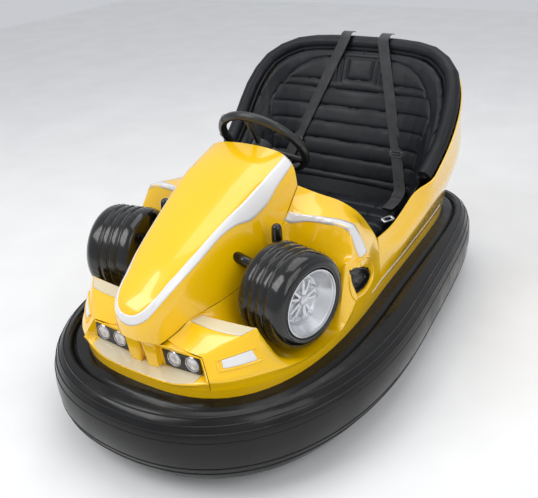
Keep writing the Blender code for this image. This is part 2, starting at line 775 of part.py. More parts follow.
def build_bumper():
    """The rubber tube, its top band, the steel hoop behind and the skirt above."""
    rise = TUBE_TOP - TUBE_BOTTOM
    groove = moved_out(GROOVE_LINE, SEAT_GAP)
    tube = []
    for outer, inner in zip(RING_LINE, groove):
        tube.append([between(outer, inner, s, TUBE_BOTTOM + h * rise) for s, h in TUBE_SHARES])
    lofted_ring("bumper_tube", tube, black_rubber())

    tuck = moved_out(BODY_LINE, -BAND_TUCK)
    band = []
    for outer, seat, inner in zip(GROOVE_LINE, BODY_LINE, tuck):
        band.append([
            between(outer, seat, 0.0, BAND_BOTTOM),
            between(outer, seat, 0.0, BAND_GROOVE_TOP),
            between(outer, seat, 0.25, BAND_TOP),
            between(seat, inner, 0.0, BAND_TOP),
            between(seat, inner, 1.0, BAND_TOP),
            between(seat, inner, 1.0, BAND_BOTTOM),
        ])
    lofted_ring("rim_band", band, black_rubber())

    inner = moved_out(GROOVE_LINE, -HOOP_THICKNESS)
    top = BAND_BOTTOM - SEAT_GAP
    hoop = []
    for a, b in zip(GROOVE_LINE, inner):
        hoop.append([
            (a.x, a.y, HOOP_BOTTOM), (a.x, a.y, top), (b.x, b.y, top), (b.x, b.y, HOOP_BOTTOM),
        ])
    lofted_ring("bumper_hoop", hoop, steel())

    wall = moved_out(BODY_LINE, -SKIRT_WALL)
    flange = moved_out(BODY_LINE, -SKIRT_FLANGE)
    foot = BAND_TOP + SEAT_GAP
    skirt = []
    for a, b, c in zip(BODY_LINE, wall, flange):
        skirt.append([
            (a.x, a.y, foot), (a.x, a.y, SKIRT_TOP), (b.x, b.y, SKIRT_TOP),
            (b.x, b.y, foot + SKIRT_WALL), (c.x, c.y, foot + SKIRT_WALL), (c.x, c.y, foot),
        ])
    lofted_ring("lower_skirt", skirt, yellow())


def build_chassis():
    """Rails, cross members and jacking pads inside the hoop, with the pan and battery on top."""
    inside = moved_out(GROOVE_LINE, -HOOP_THICKNESS - SEAT_GAP)
    outline = [(p.x, p.y) for p in inside]
    front, rear = -RING_FRONT, RING_REAR
    rail_top = PAN_BOTTOM - SEAT_GAP
    low_x, high_x = RAIL_SPREAD - RAIL_WIDTH / 2, RAIL_SPREAD + RAIL_WIDTH / 2
    frame = box("chassis_frame", (low_x, front, RAIL_BOTTOM), (high_x, rear, rail_top), steel())
    join(frame, box("rail_right", (-high_x, front, RAIL_BOTTOM), (-low_x, rear, rail_top), steel()))
    cross_places = (
        DRIVE_Y - TURNTABLE_RADIUS - CROSS_WIDTH, DRIVE_Y + TURNTABLE_RADIUS + CROSS_WIDTH,
        BODY_REAR * BATTERY_REAR_SHARE, REAR_WHEEL_Y + REAR_CROSS_BEHIND,
    )
    for number, y in enumerate(cross_places):
        cross = box(
            f"cross_{number}",
            (-RING_HALF_WIDTH, y - CROSS_WIDTH / 2, RAIL_BOTTOM + SEAT_GAP),
            (RING_HALF_WIDTH, y + CROSS_WIDTH / 2, rail_top - SEAT_GAP),
            steel(),
        )
        join(frame, cross)
    keep_inside(frame, prism("hoop_inside", outline, 0.0, PAN_BOTTOM + OVERRUN, steel()))
    for side in (1, -1):
        for number, along in enumerate(PAD_PLACES_SHARES):
            pad = box(
                f"pad_{side + 1}_{number}",
                (side * RAIL_SPREAD - PAD_WIDTH / 2, along * BODY_REAR - PAD_LENGTH / 2, PAD_BOTTOM),
                (
                    side * RAIL_SPREAD + PAD_WIDTH / 2, along * BODY_REAR + PAD_LENGTH / 2,
                    RAIL_BOTTOM + OVERRUN,
                ),
                steel(),
            )
            join(frame, pad)

    pan = prism("floor_pan", outline, PAN_BOTTOM, PAN_BOTTOM + PAN_THICKNESS, steel())
    hole = rod(
        "pan_hole",
        (0, DRIVE_Y, PAN_BOTTOM - OVERRUN), (0, DRIVE_Y, PAN_BOTTOM + PAN_THICKNESS + OVERRUN),
        TURNTABLE_BORE, steel(), 48,
    )
    cut(pan, hole)

    half = BODY_HALF_WIDTH * BATTERY_WIDE_SHARE
    box(
        "battery_block",
        (-half, BODY_REAR * BATTERY_FRONT_SHARE, PAN_BOTTOM + PAN_THICKNESS + SEAT_GAP),
        (half, BODY_REAR * BATTERY_REAR_SHARE, BATTERY_TOP),
        black_plastic(), BATTERY_ROUNDING,
    )


def hood_section(shares):
    """The half section of the hood from its crown to its flank's end."""
    y = -NOSE_TIP * (1 - shares[0])
    pairs = zip(shares[1::2], shares[2::2])
    points = [Vector((wide * BODY_HALF_WIDTH, y, high * HOOD_HEIGHT)) for wide, high in pairs]
    crest = points[0]
    rise = HOOD_CROWN * min(1.0, crest.x / (0.2 * BODY_HALF_WIDTH))
    crown = Vector((0.0, y, crest.z + rise))
    shoulder = Vector((crest.x * 0.6, y, crest.z + rise * 0.7))
    return [crown, shoulder] + points


def hood_at(y):
    """The hood's half section at y, between the sections of the table."""
    sections = [hood_section(shares) for shares in HOOD_SHARES]
    for a, b in zip(sections, sections[1:]):
        if a[0].y <= y <= b[0].y:
            share = (y - a[0].y) / (b[0].y - a[0].y)
            return [p.lerp(q, share) for p, q in zip(a, b)]
    return sections[0] if y < sections[0][0].y else sections[-1]


def side_stations():
    """Where the side body's sections meet the hood's flank."""
    front = [-BODY_FRONT * shares[0] for shares in DECK_SHARES]
    return front + [-BODY_FRONT * shares[0][1] for shares in POD_SHARES]


def base_at(y):
    """The end of the hood's flank at y, straight between the sections."""
    ends = [hood_at(station)[-1] for station in side_stations()]
    for a, b in zip(ends, ends[1:]):
        if y <= b.y:
            return a.lerp(b, (y - a.y) / (b.y - a.y))
    return ends[-1].copy()


def build_hood():
    """The raised nose hood, open below and behind, with its chamfer for the light stripe."""
    tip = [hood_section(shares) for shares in HOOD_SHARES[:3]]
    rows = tip + [hood_at(y) for y in side_stations()]
    inside = Vector((0.0, -BODY_FRONT / 2, HOOD_HEIGHT / 2))
    panel("nose_hood", mirrored(rows), yellow(), inside, front_face=True)


def hood_core(name):
    """The hood as a solid, a seat gap larger, to fit the arms' ends to it."""
    rings = []
    for y in side_stations():
        half = [Vector((p.x, p.z)) for p in hood_at(y)]
        section = half + [Vector((-p.x, p.y)) for p in reversed(half[1:])]
        rings.append([(p.x, y, p.y) for p in moved_out(section, SEAT_GAP)])
    return lofted(name, rings, yellow())


def side_tail(foot_y, overhang, crease_z):
    """The crease, belly and foot of a side section."""
    crease = plan_out(foot_y, overhang * CREASE_OVERHANG)
    foot = plan_out(foot_y, 0.0)
    foot_z = SKIRT_TOP + SEAT_GAP
    return [
        Vector((crease.x, crease.y, crease_z)),
        Vector((foot.x, foot.y, foot_z + (crease_z - foot_z) * FOOT_RISE_SHARE)),
        Vector((foot.x, foot.y, foot_z)),
    ]


def side_rows():
    """Sections of a side body from the lamps to the cockpit edge, each from the hood to the skirt."""
    rows = []
    for along, wall_w, wall_h, floor_w, floor_h, out_w, out_h, crease_h, over, foot_along in DECK_SHARES:
        y = -BODY_FRONT * along
        pairs = ((wall_w, wall_h), (floor_w, floor_h), (out_w, out_h))
        row = [Vector((w * BODY_HALF_WIDTH, y, h * HOOD_HEIGHT)) for w, h in pairs]
        tail = side_tail(-BODY_FRONT * foot_along, over, crease_h * HOOD_HEIGHT)
        rows.append([base_at(y)] + row + tail)
    for *places, over, foot_along in POD_SHARES:
        row = [Vector((w * BODY_HALF_WIDTH, -a * BODY_FRONT, h * HOOD_HEIGHT)) for w, a, h in places]
        row[0] = base_at(row[0].y)
        tail = side_tail(-BODY_FRONT * foot_along, over, row[-1].z)
        rows.append(row + tail[1:])
    for row in rows:
        row[0] = toward(row[0], row[1], SEAM_GAP)
    return rows


def surface_tree(rows):
    """The surface through rows of points, as a tree that rays can be cast at."""
    wide = len(rows[0])
    faces = []
    for i in range(len(rows) - 1):
        for j in range(wide - 1):
            first = i * wide + j
            faces.append((first, first + 1, first + wide + 1, first + wide))
    return BVHTree.FromPolygons([point for row in rows for point in row], faces)


def duct_outline(inset):
    """The duct's D outline as (y, z) points, moved in."""
    points = [Vector((-along * BODY_FRONT, high * HOOD_HEIGHT)) for along, high in DUCT_SHARES]
    return moved_out(points, -inset)


def duct_mouth(surface, inset):
    """The duct's outline on the side's outer surface, moved in."""
    start = 2 * BODY_HALF_WIDTH
    ring = []
    for p in duct_outline(inset):
        place = surface.ray_cast(Vector((start, p.x, p.y)), Vector((-1, 0, 0)))[0]
        ring.append((place.x, p.x, p.y))
    return ring


def duct_ring(ring, side, depth=0.0, level=None):
    """The ring at a depth below the surface, or level with a plane."""
    return [(side * (x - depth if level is None else level), y, z) for x, y, z in ring]


def build_duct(surface, body, side, name):
    """The duct's hole in the side body and its black cup."""
    mouth = duct_mouth(surface, 0.0)
    outer, inner = duct_mouth(surface, DUCT_GAP), duct_mouth(surface, DUCT_GAP + DUCT_WALL)
    depths = [x for x, _, _ in mouth]
    floor = min(depths) - DUCT_DEPTH
    hole = [duct_ring(mouth, side, level=level) for level in (floor, max(depths) + OVERRUN)]
    cut(body, lofted(f"duct_cut_{name}", hole, yellow()))
    cup = (
        duct_ring(outer, side, level=floor),
        duct_ring(outer, side, SHELL_WALL / 2),
        duct_ring(inner, side, SHELL_WALL / 2),
        duct_ring(inner, side, level=floor + DUCT_WALL),
    )
    lofted(f"duct_liner_{name}", cup, black_plastic())


def build_sides():
    """Each side of the body: deck, wheel well, arch and pod, with its duct and liner."""
    rows = refined(
        side_rows(), 2, 2, along_corners=DECK_CORNERS + (len(DECK_SHARES),), across_corners=(3, 4, 5)
    )
    for row in rows:
        row[0] = toward(base_at(row[0].y), row[1], HOOD_SEAM)
    surface = surface_tree(rows)
    inside = Vector((BODY_HALF_WIDTH / 3, -BODY_FRONT / 2, HOOD_HEIGHT / 4))
    for side, name in ((1, "left"), (-1, "right")):
        shape = rows if side > 0 else flipped(rows)
        body = panel(f"side_body_{name}", shape, yellow(), inside if side > 0 else other_side(inside))
        build_duct(surface, body, side, name)


def rim_points():
    """The rim of the cockpit and seat on the driver's left, from the sill to the middle."""
    points = [
        Vector((wide * SEAT_HALF_WIDTH, along * BODY_REAR, high * SEAT_HEIGHT))
        for wide, along, high in (row[:3] for row in COWL_SHARES)
    ]
    points[0] = side_rows()[-1][4] + Vector((0, 2 * PANEL_GAP, 0))
    return points


def both_sides(points):
    """A line from the left end over the middle to the right end."""
    return list(points) + [other_side(p) for p in reversed(points[:-1])]


def seat_columns():
    """Smooth lines of rim, cowl belly, cowl foot, seat wall and seat bottom, both sides."""
    width, reach, height = SEAT_HALF_WIDTH, BODY_REAR, SEAT_HEIGHT
    belly = [Vector((s[3] * width, s[4] * reach, s[5] * height)) for s in COWL_SHARES]
    foot = [Vector((s[6] * width, s[7] * reach, SKIRT_TOP + SEAT_GAP)) for s in COWL_SHARES]
    wall = [Vector((s[0] * width, s[1] * reach, s[2] * height)) for s in TUB_SHARES]
    bottom = [Vector((s[3] * width, s[4] * reach, s[5] * height)) for s in TUB_SHARES]
    seam = side_rows()[-1]
    step = Vector((0, 2 * PANEL_GAP, 0))
    belly[0] = seam[4].lerp(seam[5], 0.5) + step
    foot[0] = seam[-1] + step
    return [smooth_line(both_sides(line), RIM_STEPS) for line in (rim_points(), belly, foot, wall, bottom)]


def rim_frame(line, i):
    """Away from the cockpit and below the rim, both square to it, at a place on the rim."""
    along = (line[min(i + 1, len(line) - 1)] - line[max(i - 1, 0)]).normalized()
    out = Vector((along.y, -along.x, 0.0)).normalized()
    below = along.cross(out)
    return out, (below if below.z < 0 else -below).normalized()


def seat_rows():
    """Rows of the cowl and of the seat's inner shell, from the rim down."""
    rim, belly, foot, wall, bottom = seat_columns()
    first = ROLL_FIRST_STATION * RIM_STEPS
    last = len(rim) - 1 - first
    outer_rows, inner_rows = [], []
    for i, point in enumerate(rim):
        out, below = rim_frame(rim, i)
        if first <= i <= last:
            wide, drop = COWL_EDGE_SHARES
            edge = point + out * (ROLL_RADIUS * wide + SHELL_WALL) + below * (ROLL_RADIUS * drop)
            wide, drop = SHELL_EDGE_SHARES
            seat_edge = point - out * (ROLL_RADIUS * wide + SHELL_WALL) + below * (ROLL_RADIUS * drop)
        else:
            edge = point
            seat_edge = point - out * (SHELL_WALL * 2) + below * SHELL_WALL
        rise = foot[i] + Vector((0, 0, COWL_FOOT_RISE))
        outer_rows.append([edge, edge.lerp(belly[i], 0.5), belly[i], rise, foot[i]])
        inner_rows.append([seat_edge, seat_edge.lerp(wall[i], 0.5), wall[i], bottom[i]])
    outer_rows = [smooth_line(row, 2, corners=(3,)) for row in outer_rows]
    inner_rows = [smooth_line(row, 2) for row in inner_rows]
    return outer_rows, inner_rows


def build_cowl():
    """The cowl round the seat, from the sills to the rear, and the seat's inner shell."""
    outer_rows, inner_rows = seat_rows()
    middle = Vector((0.0, BODY_REAR / 3, SEAT_HEIGHT / 2))
    behind = Vector((0.0, 2 * BODY_REAR, -SEAT_HEIGHT))
    panel("rear_cowl", outer_rows, yellow(), middle)
    panel("seat_shell", inner_rows, black_hide(), behind)


def tube_along(name, points, radius, paint):
    """A round padded tube along a line."""
    curve = bpy.data.curves.new(name, "CURVE")
    curve.dimensions = "3D"
    curve.bevel_depth = radius
    curve.bevel_resolution = 4
    curve.use_fill_caps = True
    spline = curve.splines.new("POLY")
    spline.points.add(len(points) - 1)
    for target, point in zip(spline.points, points):
        target.co = (*point, 1.0)
    curve.materials.append(paint)
    obj = bpy.data.objects.new(name, curve)
    PARTS.objects.link(obj)
    return obj


def build_seat():
    """The padded roll, and the cushion that fills the bottom of the seat shell."""
    columns = seat_columns()
    rim, bottom = columns[0], columns[-1]
    first = ROLL_FIRST_STATION * RIM_STEPS
    tube_along("seat_roll", rim[first:len(rim) - first], ROLL_RADIUS, black_hide())
    front = BODY_REAR * CUSHION_FRONT_SHARE
    line = [Vector((p.x, p.y)) for p in bottom if p.y > front]
    line = [Vector((line[0].x, front))] + line + [Vector((line[-1].x, front))]
    outline = [(p.x, p.y) for p in moved_out(line, -CUSHION_GAP)]
    cushion = prism("seat_cushion", outline, BATTERY_TOP + SEAT_GAP, CUSHION_TOP, black_hide())
    rounded(cushion, CUSHION_ROUNDING)


def rim_at(x):
    """The roll's axis above x, in the stretch behind the riders."""
    rim = seat_columns()[0]
    for a, b in zip(rim, rim[1:]):
        if b.x <= x <= a.x and min(a.y, b.y) > BODY_REAR / 2:
            return a.lerp(b, (a.x - x) / (a.x - b.x))
    return rim[len(rim) // 2]


def belt_stations(surface):
    """Edge points of the left belt and the way that it faces, from the roll to the cushion."""
    half, lift = BELT_WIDTH / 2, SEAT_GAP + BELT_THICKNESS / 2
    hip = Vector((BODY_HALF_WIDTH * BELT_HIP_WIDE_SHARE, 0, CUSHION_TOP + BELT_HIP_RISE))
    sides = [hip + Vector((side * half, 0, 0)) for side in (-1, 1)]
    hip.y = min(surface.ray_cast(point, Vector((0, 1, 0)))[0].y for point in sides)
    roll = rim_at(BELT_SPREAD)
    down = (roll.z - hip.z, roll.y - hip.y)
    lean = Vector((0, -down[0], down[1])).normalized()
    hip += lean * (lift + BELT_LIFT)
    turns = [math.radians(turn) for turn in BELT_ROLL_TURNS_DEG]
    facings = [Vector((0, -math.sin(turn), math.cos(turn))) for turn in turns] + [lean]
    middles = [roll + facing * (ROLL_RADIUS + BELT_LIFT + lift) for facing in facings]
    middles.append(hip)
    facings.append(lean)
    for along, lifted in BELT_LIE_SHARES:
        height = CUSHION_TOP + lift + BELT_LIFT * lifted
        middles.append(Vector((hip.x, BODY_REAR * along, height)))
        facings.append(Vector((0, 0, 1)))
    across = Vector((half, 0, 0))
    return [(middle - across, middle + across, facing) for middle, facing in zip(middles, facings)]


def build_belts():
    """A flat belt for each rider, from the roll down the seat back to the hip."""
    stations = belt_stations(surface_tree(seat_rows()[1]))
    rings = []
    for inner, outer, facing in stations:
        step = facing * (BELT_THICKNESS / 2)
        rings.append([inner + step, outer + step, outer - step, inner - step])
    lofted("belt_left", rings, webbing())
    lofted("belt_right", flipped(rings), webbing())


def fascia_rows():
    """Sections of the fascia from the middle out, each from under the nose down to the skirt."""
    rows = []
    for wide, top_y, top_z, face_y, face_z, low_y, low_z, crease_wide, crease_z in FASCIA_SHARES:
        pairs = ((top_y, top_z), (face_y, face_z), (low_y, low_z))
        row = [Vector((wide * BODY_HALF_WIDTH, -a * BODY_FRONT, h * HOOD_HEIGHT)) for a, h in pairs]
        foot_y = body_front_at(crease_wide * BODY_HALF_WIDTH)
        rows.append(row + side_tail(foot_y, 1.0, crease_z * HOOD_HEIGHT))
    rows[0] = [Vector((0.0, p.y, p.z)) for p in rows[0]]
    deck, behind = side_rows()[:2]
    ahead = Vector((0, -FASCIA_WALL - SEAM_GAP, 0))
    edge = toward(deck[3], behind[3], -SEAM_GAP) + ahead
    crease, *tail = side_tail(-BODY_FRONT * DECK_SHARES[0][-1] - SEAM_GAP / 2, 1.0, deck[4].z)
    crease += ahead
    tail[0] += ahead / 2
    rows.append([edge] + [edge.lerp(crease, share) for share in FASCIA_SEAM_SHARES] + [crease] + tail)
    return rows


def build_fascia():
    """The lamp face with its two fangs, the splitter shelf and the front wall."""
    rows = fascia_rows()
    full = flipped(reversed(rows[1:])) + rows
    inside = Vector((0.0, -0.8 * BODY_FRONT, SKIRT_TOP))
    fascia = panel("front_fascia", full, yellow(), inside, wall=FASCIA_WALL)
    for side in (1, -1):
        rings = []
        for inner, outer, front, back, high in FANG_SHARES:
            corners = ((inner, front), (outer, front), (outer, back), (inner, back))
            rings.append([
                (side * wide * BODY_HALF_WIDTH, -along * BODY_FRONT, high * HOOD_HEIGHT)
                for wide, along in corners
            ])
        join(fascia, lofted(f"fang_{side + 1}", rings, yellow()))
    return fascia


def bezel_ring(grown, y, side):
    points = [Vector((wide * BODY_HALF_WIDTH, high * HOOD_HEIGHT)) for wide, high in BEZEL_SHARES]
    return [(side * p.x, y, p.y) for p in moved_out(points, grown)]


def dome_profile(radius, back, dome):
    """A lens from its flat back to its domed front, as (radius, along)."""
    rise = [math.radians(turn) for turn in (0, 30, 60)]
    return [(0.0, 0.0), (radius, 0.0)] + [
        (radius * math.cos(turn), back + dome * math.sin(turn)) for turn in rise
    ] + [(0.0, back + dome)]


def build_lamps(fascia):
    """The black lamp bezels let into the fascia, each with two round lenses."""
    face = -BODY_FRONT * BEZEL_FACE_SHARE - BEZEL_PROUD
    back = face + BEZEL_DEPTH
    for side, name in ((1, "left"), (-1, "right")):
        reach = (face - BEZEL_DEPTH, back + BEZEL_DEPTH)
        hole = lofted(f"bezel_hole_{name}", [bezel_ring(PANEL_GAP, y, side) for y in reach], yellow())
        cut(fascia, hole)
        rings = [bezel_ring(0.0, y, side) for y in (face, back)]
        bezel = lofted(f"headlamp_bezel_{name}", rings, black_plastic())
        for place, (wide, high) in zip(("inner", "outer"), LAMP_SHARES):
            x, z = side * wide * BODY_HALF_WIDTH, high * HOOD_HEIGHT
            floor = face + LAMP_DEPTH
            socket = rod(
                f"lamp_socket_{name}_{place}", (x, face - OVERRUN, z), (x, floor, z),
                LAMP_RADIUS, black_plastic(), 20,
            )
            cut(bezel, socket)
            turned(
                f"lamp_lens_{name}_{place}",
                dome_profile(LAMP_RADIUS - SEAT_GAP, LAMP_BACK, LAMP_DOME),
                (x, floor - SEAT_GAP, z), (0, -1, 0), lens(), 20,
            )


def wheel_axis(side):
    toe = math.radians(MOCK_TOE_DEG)
    return Vector((side * math.cos(toe), -math.sin(toe), 0.0))


def mock_tyre_profile():
    """The grooved tyre's section as (radius, along), from the bore round the tread and back."""
    r, w = MOCK_RADIUS, MOCK_WIDTH
    bore = MOCK_RIM_RADIUS + SEAT_GAP
    wide, narrow = MOCK_GROOVE_WIDE_SHARES
    tread = []
    for place in MOCK_GROOVE_SHARES:
        floor = r - MOCK_GROOVE_DEPTH
        tread += [
            (r, -w * (place - wide)), (floor, -w * (place - narrow)),
            (floor, -w * (place + narrow)), (r, -w * (place + wide)),
        ]
    front = [(r * radius, -w * depth) for radius, depth in MOCK_FACE_SHARES]
    back = [(r * radius, -w * depth) for radius, depth in MOCK_BACK_SHARES]
    return [(bore, 0.0)] + front + tread + back + [(bore, -w)]


def spoke_star(radius):
    """The plan of the rim's spokes, in close pairs round the hub."""
    half = MOCK_SPOKE_WIDTH / 2
    angles = []
    for pair in range(MOCK_SPOKE_PAIRS):
        middle = 2 * math.pi * pair / MOCK_SPOKE_PAIRS
        angles += [middle + side * math.radians(MOCK_SPOKE_SPREAD_DEG) for side in (-1, 1)]
    points = []
    for i, angle in enumerate(angles):
        before = angles[i - 1] - (2 * math.pi if i == 0 else 0.0)
        notch = half / math.sin((angle - before) / 2)
        turn = (angle + before) / 2
        points.append((notch * math.cos(turn), notch * math.sin(turn)))
        along, across = (math.cos(angle), math.sin(angle)), (-math.sin(angle), math.cos(angle))
        for side in (-1, 1):
            points.append(tuple(radius * a + side * half * b for a, b in zip(along, across)))
    return points


def build_mock_wheels():
    """The fixed mock wheels: grooved tyre, dished rim with paired spokes, and the arms."""
    for side, name in ((1, "left"), (-1, "right")):
        axis = wheel_axis(side)
        centre = Vector((side * MOCK_FACE_X, MOCK_Y, MOCK_HEIGHT))
        turned(f"mock_tyre_{name}", mock_tyre_profile(), centre, axis, black_plastic(), 32)
        profile = [(MOCK_RIM_RADIUS * r, -MOCK_RIM_DEPTH * depth) for r, depth in MOCK_RIM_SHARES]
        rim = turned(f"mock_rim_{name}", profile, centre, axis, silver(), 32)
        low, high = -MOCK_RIM_DEPTH - MOCK_SPOKE_LAP, -MOCK_RIM_DEPTH + MOCK_SPOKE_RISE
        star = prism(f"spokes_{name}", spoke_star(MOCK_RIM_RADIUS * MOCK_STAR_SHARE), low, high, silver())
        star.matrix_world = rim.matrix_world.copy()
        join(rim, star)
        build_mock_arm(side, name, centre - axis * MOCK_WIDTH, axis)


def build_mock_arm(side, name, back, axis):
    """The disc in the wheel's back, its tube to the hood and its round-topped post."""
    disc = (
        (0.0, MOCK_DISC_THICKNESS), (MOCK_RIM_RADIUS, MOCK_DISC_THICKNESS), (MOCK_RIM_RADIUS, 0.0),
        (0.0, 0.0),
    )
    arm = turned(f"mock_arm_{name}", disc, back, axis, black_plastic(), 32)
    root = Vector((
        side * BODY_HALF_WIDTH * ARM_ROOT_WIDE_SHARE, -BODY_FRONT * ARM_ROOT_ALONG_SHARE, ARM_ROOT_HEIGHT,
    ))
    end = back + axis * (MOCK_DISC_THICKNESS / 2) + Vector((0, 0, ARM_RISE))
    join(arm, rod(f"arm_tube_{name}", root, end, ARM_RADIUS, black_plastic(), 16))
    cut(arm, hood_core(f"hood_core_{name}"))
    foot = Vector((
        side * BODY_HALF_WIDTH * ARM_TAB_WIDE_SHARE, -BODY_FRONT * ARM_TAB_ALONG_SHARE, MOCK_HEIGHT,
    ))
    height = ARM_TAB_TOP - MOCK_HEIGHT
    turns = [math.radians(turn) for turn in (0, 30, 60)]
    post = [(0.0, 0.0), (ARM_RADIUS, 0.0)]
    post += [(ARM_RADIUS * math.cos(t), height - ARM_RADIUS * (1 - math.sin(t))) for t in turns]
    join(arm, turned(f"arm_post_{name}", post + [(0.0, height)], foot, (0, 0, 1), black_plastic(), 16))
    low = foot + Vector((0, 0, ARM_RADIUS))
    inside = back + axis * (MOCK_DISC_THICKNESS / 2) + Vector((0, ARM_RISE, ARM_RADIUS))
    join(arm, rod(f"arm_link_{name}", low, inside, ARM_RADIUS * ARM_LINK_SHARE, black_plastic(), 12))


def build_steering():
    """The steering wheel and its column."""
    tilt = math.radians(WHEEL_TILT_DEG)
    axis = Vector((0.0, math.sin(tilt), math.cos(tilt)))
    centre = Vector((0.0, WHEEL_Y, WHEEL_HEIGHT))
    bpy.ops.mesh.primitive_torus_add(
        major_radius=WHEEL_RIM_RADIUS, minor_radius=WHEEL_GRIP_RADIUS,
        major_segments=36, minor_segments=8,
    )
    wheel = bpy.context.active_object
    wheel.name = "steering_wheel"
    wheel.data.name = "steering_wheel"
    link(wheel)
    wheel.data.materials.append(black_plastic())
    wheel.data.shade_smooth()
    place = Matrix.Translation(centre) @ axis.to_track_quat("Z", "Y").to_matrix().to_4x4()
    wheel.matrix_world = place
    hub = rod("wheel_hub", (0, 0, -HUB_LOW), (0, 0, -HUB_HIGH), HUB_RADIUS, black_plastic(), 32)
    hub.matrix_world = place
    join(wheel, hub)
    for number in range(WHEEL_SPOKES):
        angle = math.pi / 2 + 2 * math.pi * number / WHEEL_SPOKES
        tip = Vector((math.cos(angle), math.sin(angle), 0)) * WHEEL_RIM_RADIUS
        spoke = rod(f"spoke_{number}", (0, 0, -WHEEL_DISH), tip, WHEEL_SPOKE_RADIUS, black_plastic(), 10)
        spoke.matrix_world = place
        join(wheel, spoke)
    rod(
        "steering_column", centre - axis * COLUMN_LENGTH, centre - axis * (HUB_LOW + SEAT_GAP),
        COLUMN_RADIUS, steel(), 24,
    )
    return centre, axis


def build_dash(centre, axis):
    """The dash panel across the hood's inside, and the column's bearing in it."""
    half = [Vector((p.x, p.z)) for p in hood_at(DASH_Y)]
    half.append(Vector((half[-1].x - DASH_TUCK, DASH_BOTTOM)))
    section = half + [Vector((-p.x, p.y)) for p in reversed(half[1:])]
    points = [(p.x, p.y) for p in moved_out(section, -SHELL_WALL - DASH_GAP)]
    dash = prism("dash_panel", points, -DASH_THICKNESS / 2, DASH_THICKNESS / 2, black_plastic())
    dash.matrix_world = Matrix.Translation((0, DASH_Y, 0)) @ Matrix.Rotation(math.radians(90), 4, "X")
    middle = centre - axis * ((WHEEL_Y - DASH_Y) / axis.y)
    reach = axis * BEARING_LENGTH
    cut(dash, rod("dash_hole", middle - reach, middle + reach, BEARING_RADIUS + PANEL_GAP, steel(), 32))
    bearing = rod(
        "column_bearing", middle - reach / 2, middle + reach / 2, BEARING_RADIUS, steel(), 32
    )
    cut(bearing, rod("bearing_bore", middle - reach, middle + reach, COLUMN_RADIUS + RUNNING_GAP, steel()))


def build_pedal():
    """The accelerator: a treadle that rises towards the nose, on its base on the pan."""
    tilt = math.radians(PEDAL_TILT_DEG)
    half = PEDAL_WIDTH / 2
    floor = PAN_BOTTOM + PAN_THICKNESS + SEAT_GAP
    heel = Vector((PEDAL_X, -BODY_FRONT * PEDAL_ALONG_SHARE, floor + PEDAL_HEEL))
    plate = box("accelerator_pedal", (-half, -PEDAL_LENGTH, 0), (half, 0, PEDAL_THICKNESS), steel())
    plate.matrix_world = Matrix.Translation(heel) @ Matrix.Rotation(-tilt, 4, "X")
    top = heel.z + math.tan(tilt) * PEDAL_BASE / 2 + PEDAL_THICKNESS / 2
    base = box(
        "pedal_base",
        (PEDAL_X - half / 2, heel.y - PEDAL_BASE, floor), (PEDAL_X + half / 2, heel.y - PEDAL_BASE / 2, top),
        steel(),
    )
    join(plate, base)


def wheel_profile(radius, width, bore):
    """Plain round wheel with soft shoulders, turned about its own axle."""
    half = width / 2
    return [
        (bore, half), (radius - WHEEL_ROUNDING, half), (radius, half - WHEEL_ROUNDING),
        (radius, WHEEL_ROUNDING - half), (radius - WHEEL_ROUNDING, -half), (bore, -half),
    ]


def build_drive_unit():
    """The turntable, the yoke with its motor, and the drive wheel."""
    pan_top = PAN_BOTTOM + PAN_THICKNESS + SEAT_GAP
    turned(
        "turntable_ring",
        (
            (TURNTABLE_RADIUS, TURNTABLE_TOP), (TURNTABLE_RADIUS, pan_top),
            (TURNTABLE_BORE, pan_top), (TURNTABLE_BORE, TURNTABLE_TOP),
        ),
        (0, DRIVE_Y, 0), (0, 0, 1), steel(), 48,
    )
    plate_low = TURNTABLE_TOP + RUNNING_GAP
    plate_high = plate_low + YOKE_THICKNESS
    yoke = rod(
        "drive_yoke", (0, DRIVE_Y, plate_low), (0, DRIVE_Y, plate_high),
        (TURNTABLE_BORE + TURNTABLE_RADIUS) / 2, steel(), 48,
    )
    near = DRIVE_WHEEL_WIDTH / 2 + CHEEK_GAP
    far = near + CHEEK_THICKNESS
    for side in (1, -1):
        x = sorted((side * near, side * far))
        cheek = box(
            f"cheek_{side + 1}",
            (x[0], DRIVE_Y - CHEEK_HALF_LENGTH, DRIVE_WHEEL_RADIUS - CHEEK_DROP),
            (x[1], DRIVE_Y + CHEEK_HALF_LENGTH, plate_low + CHEEK_LAP),
            steel(),
        )
        join(yoke, cheek)
    tip = near + DRIVE_AXLE_OVERHANG
    axle = rod(
        "drive_axle", (-tip, DRIVE_Y, DRIVE_WHEEL_RADIUS), (tip, DRIVE_Y, DRIVE_WHEEL_RADIUS),
        DRIVE_AXLE_RADIUS, steel(), 24,
    )
    join(yoke, axle)
    motor_low = plate_high + SEAT_GAP
    motor_high = motor_low + MOTOR_HEIGHT
    motor = rod("drive_motor", (0, DRIVE_Y, motor_low), (0, DRIVE_Y, motor_high), MOTOR_RADIUS, grey(), 40)
    shaft = rod(
        "steer_shaft", (0, DRIVE_Y, motor_high - SHAFT_LAP), (0, DRIVE_Y, SHAFT_TOP), SHAFT_RADIUS, grey(), 20
    )
    join(motor, shaft)
    centre = (0, DRIVE_Y, DRIVE_WHEEL_RADIUS)
    hub_radius = DRIVE_WHEEL_RADIUS * DRIVE_HUB_SHARE
    tyre = wheel_profile(DRIVE_WHEEL_RADIUS, DRIVE_WHEEL_WIDTH, hub_radius + SEAT_GAP)
    turned("drive_tyre", tyre, centre, (1, 0, 0), black_rubber(), 40)
    hub = wheel_profile(hub_radius, DRIVE_WHEEL_WIDTH, DRIVE_AXLE_RADIUS + SEAT_GAP)
    turned("drive_hub", hub, centre, (1, 0, 0), steel(), 24)


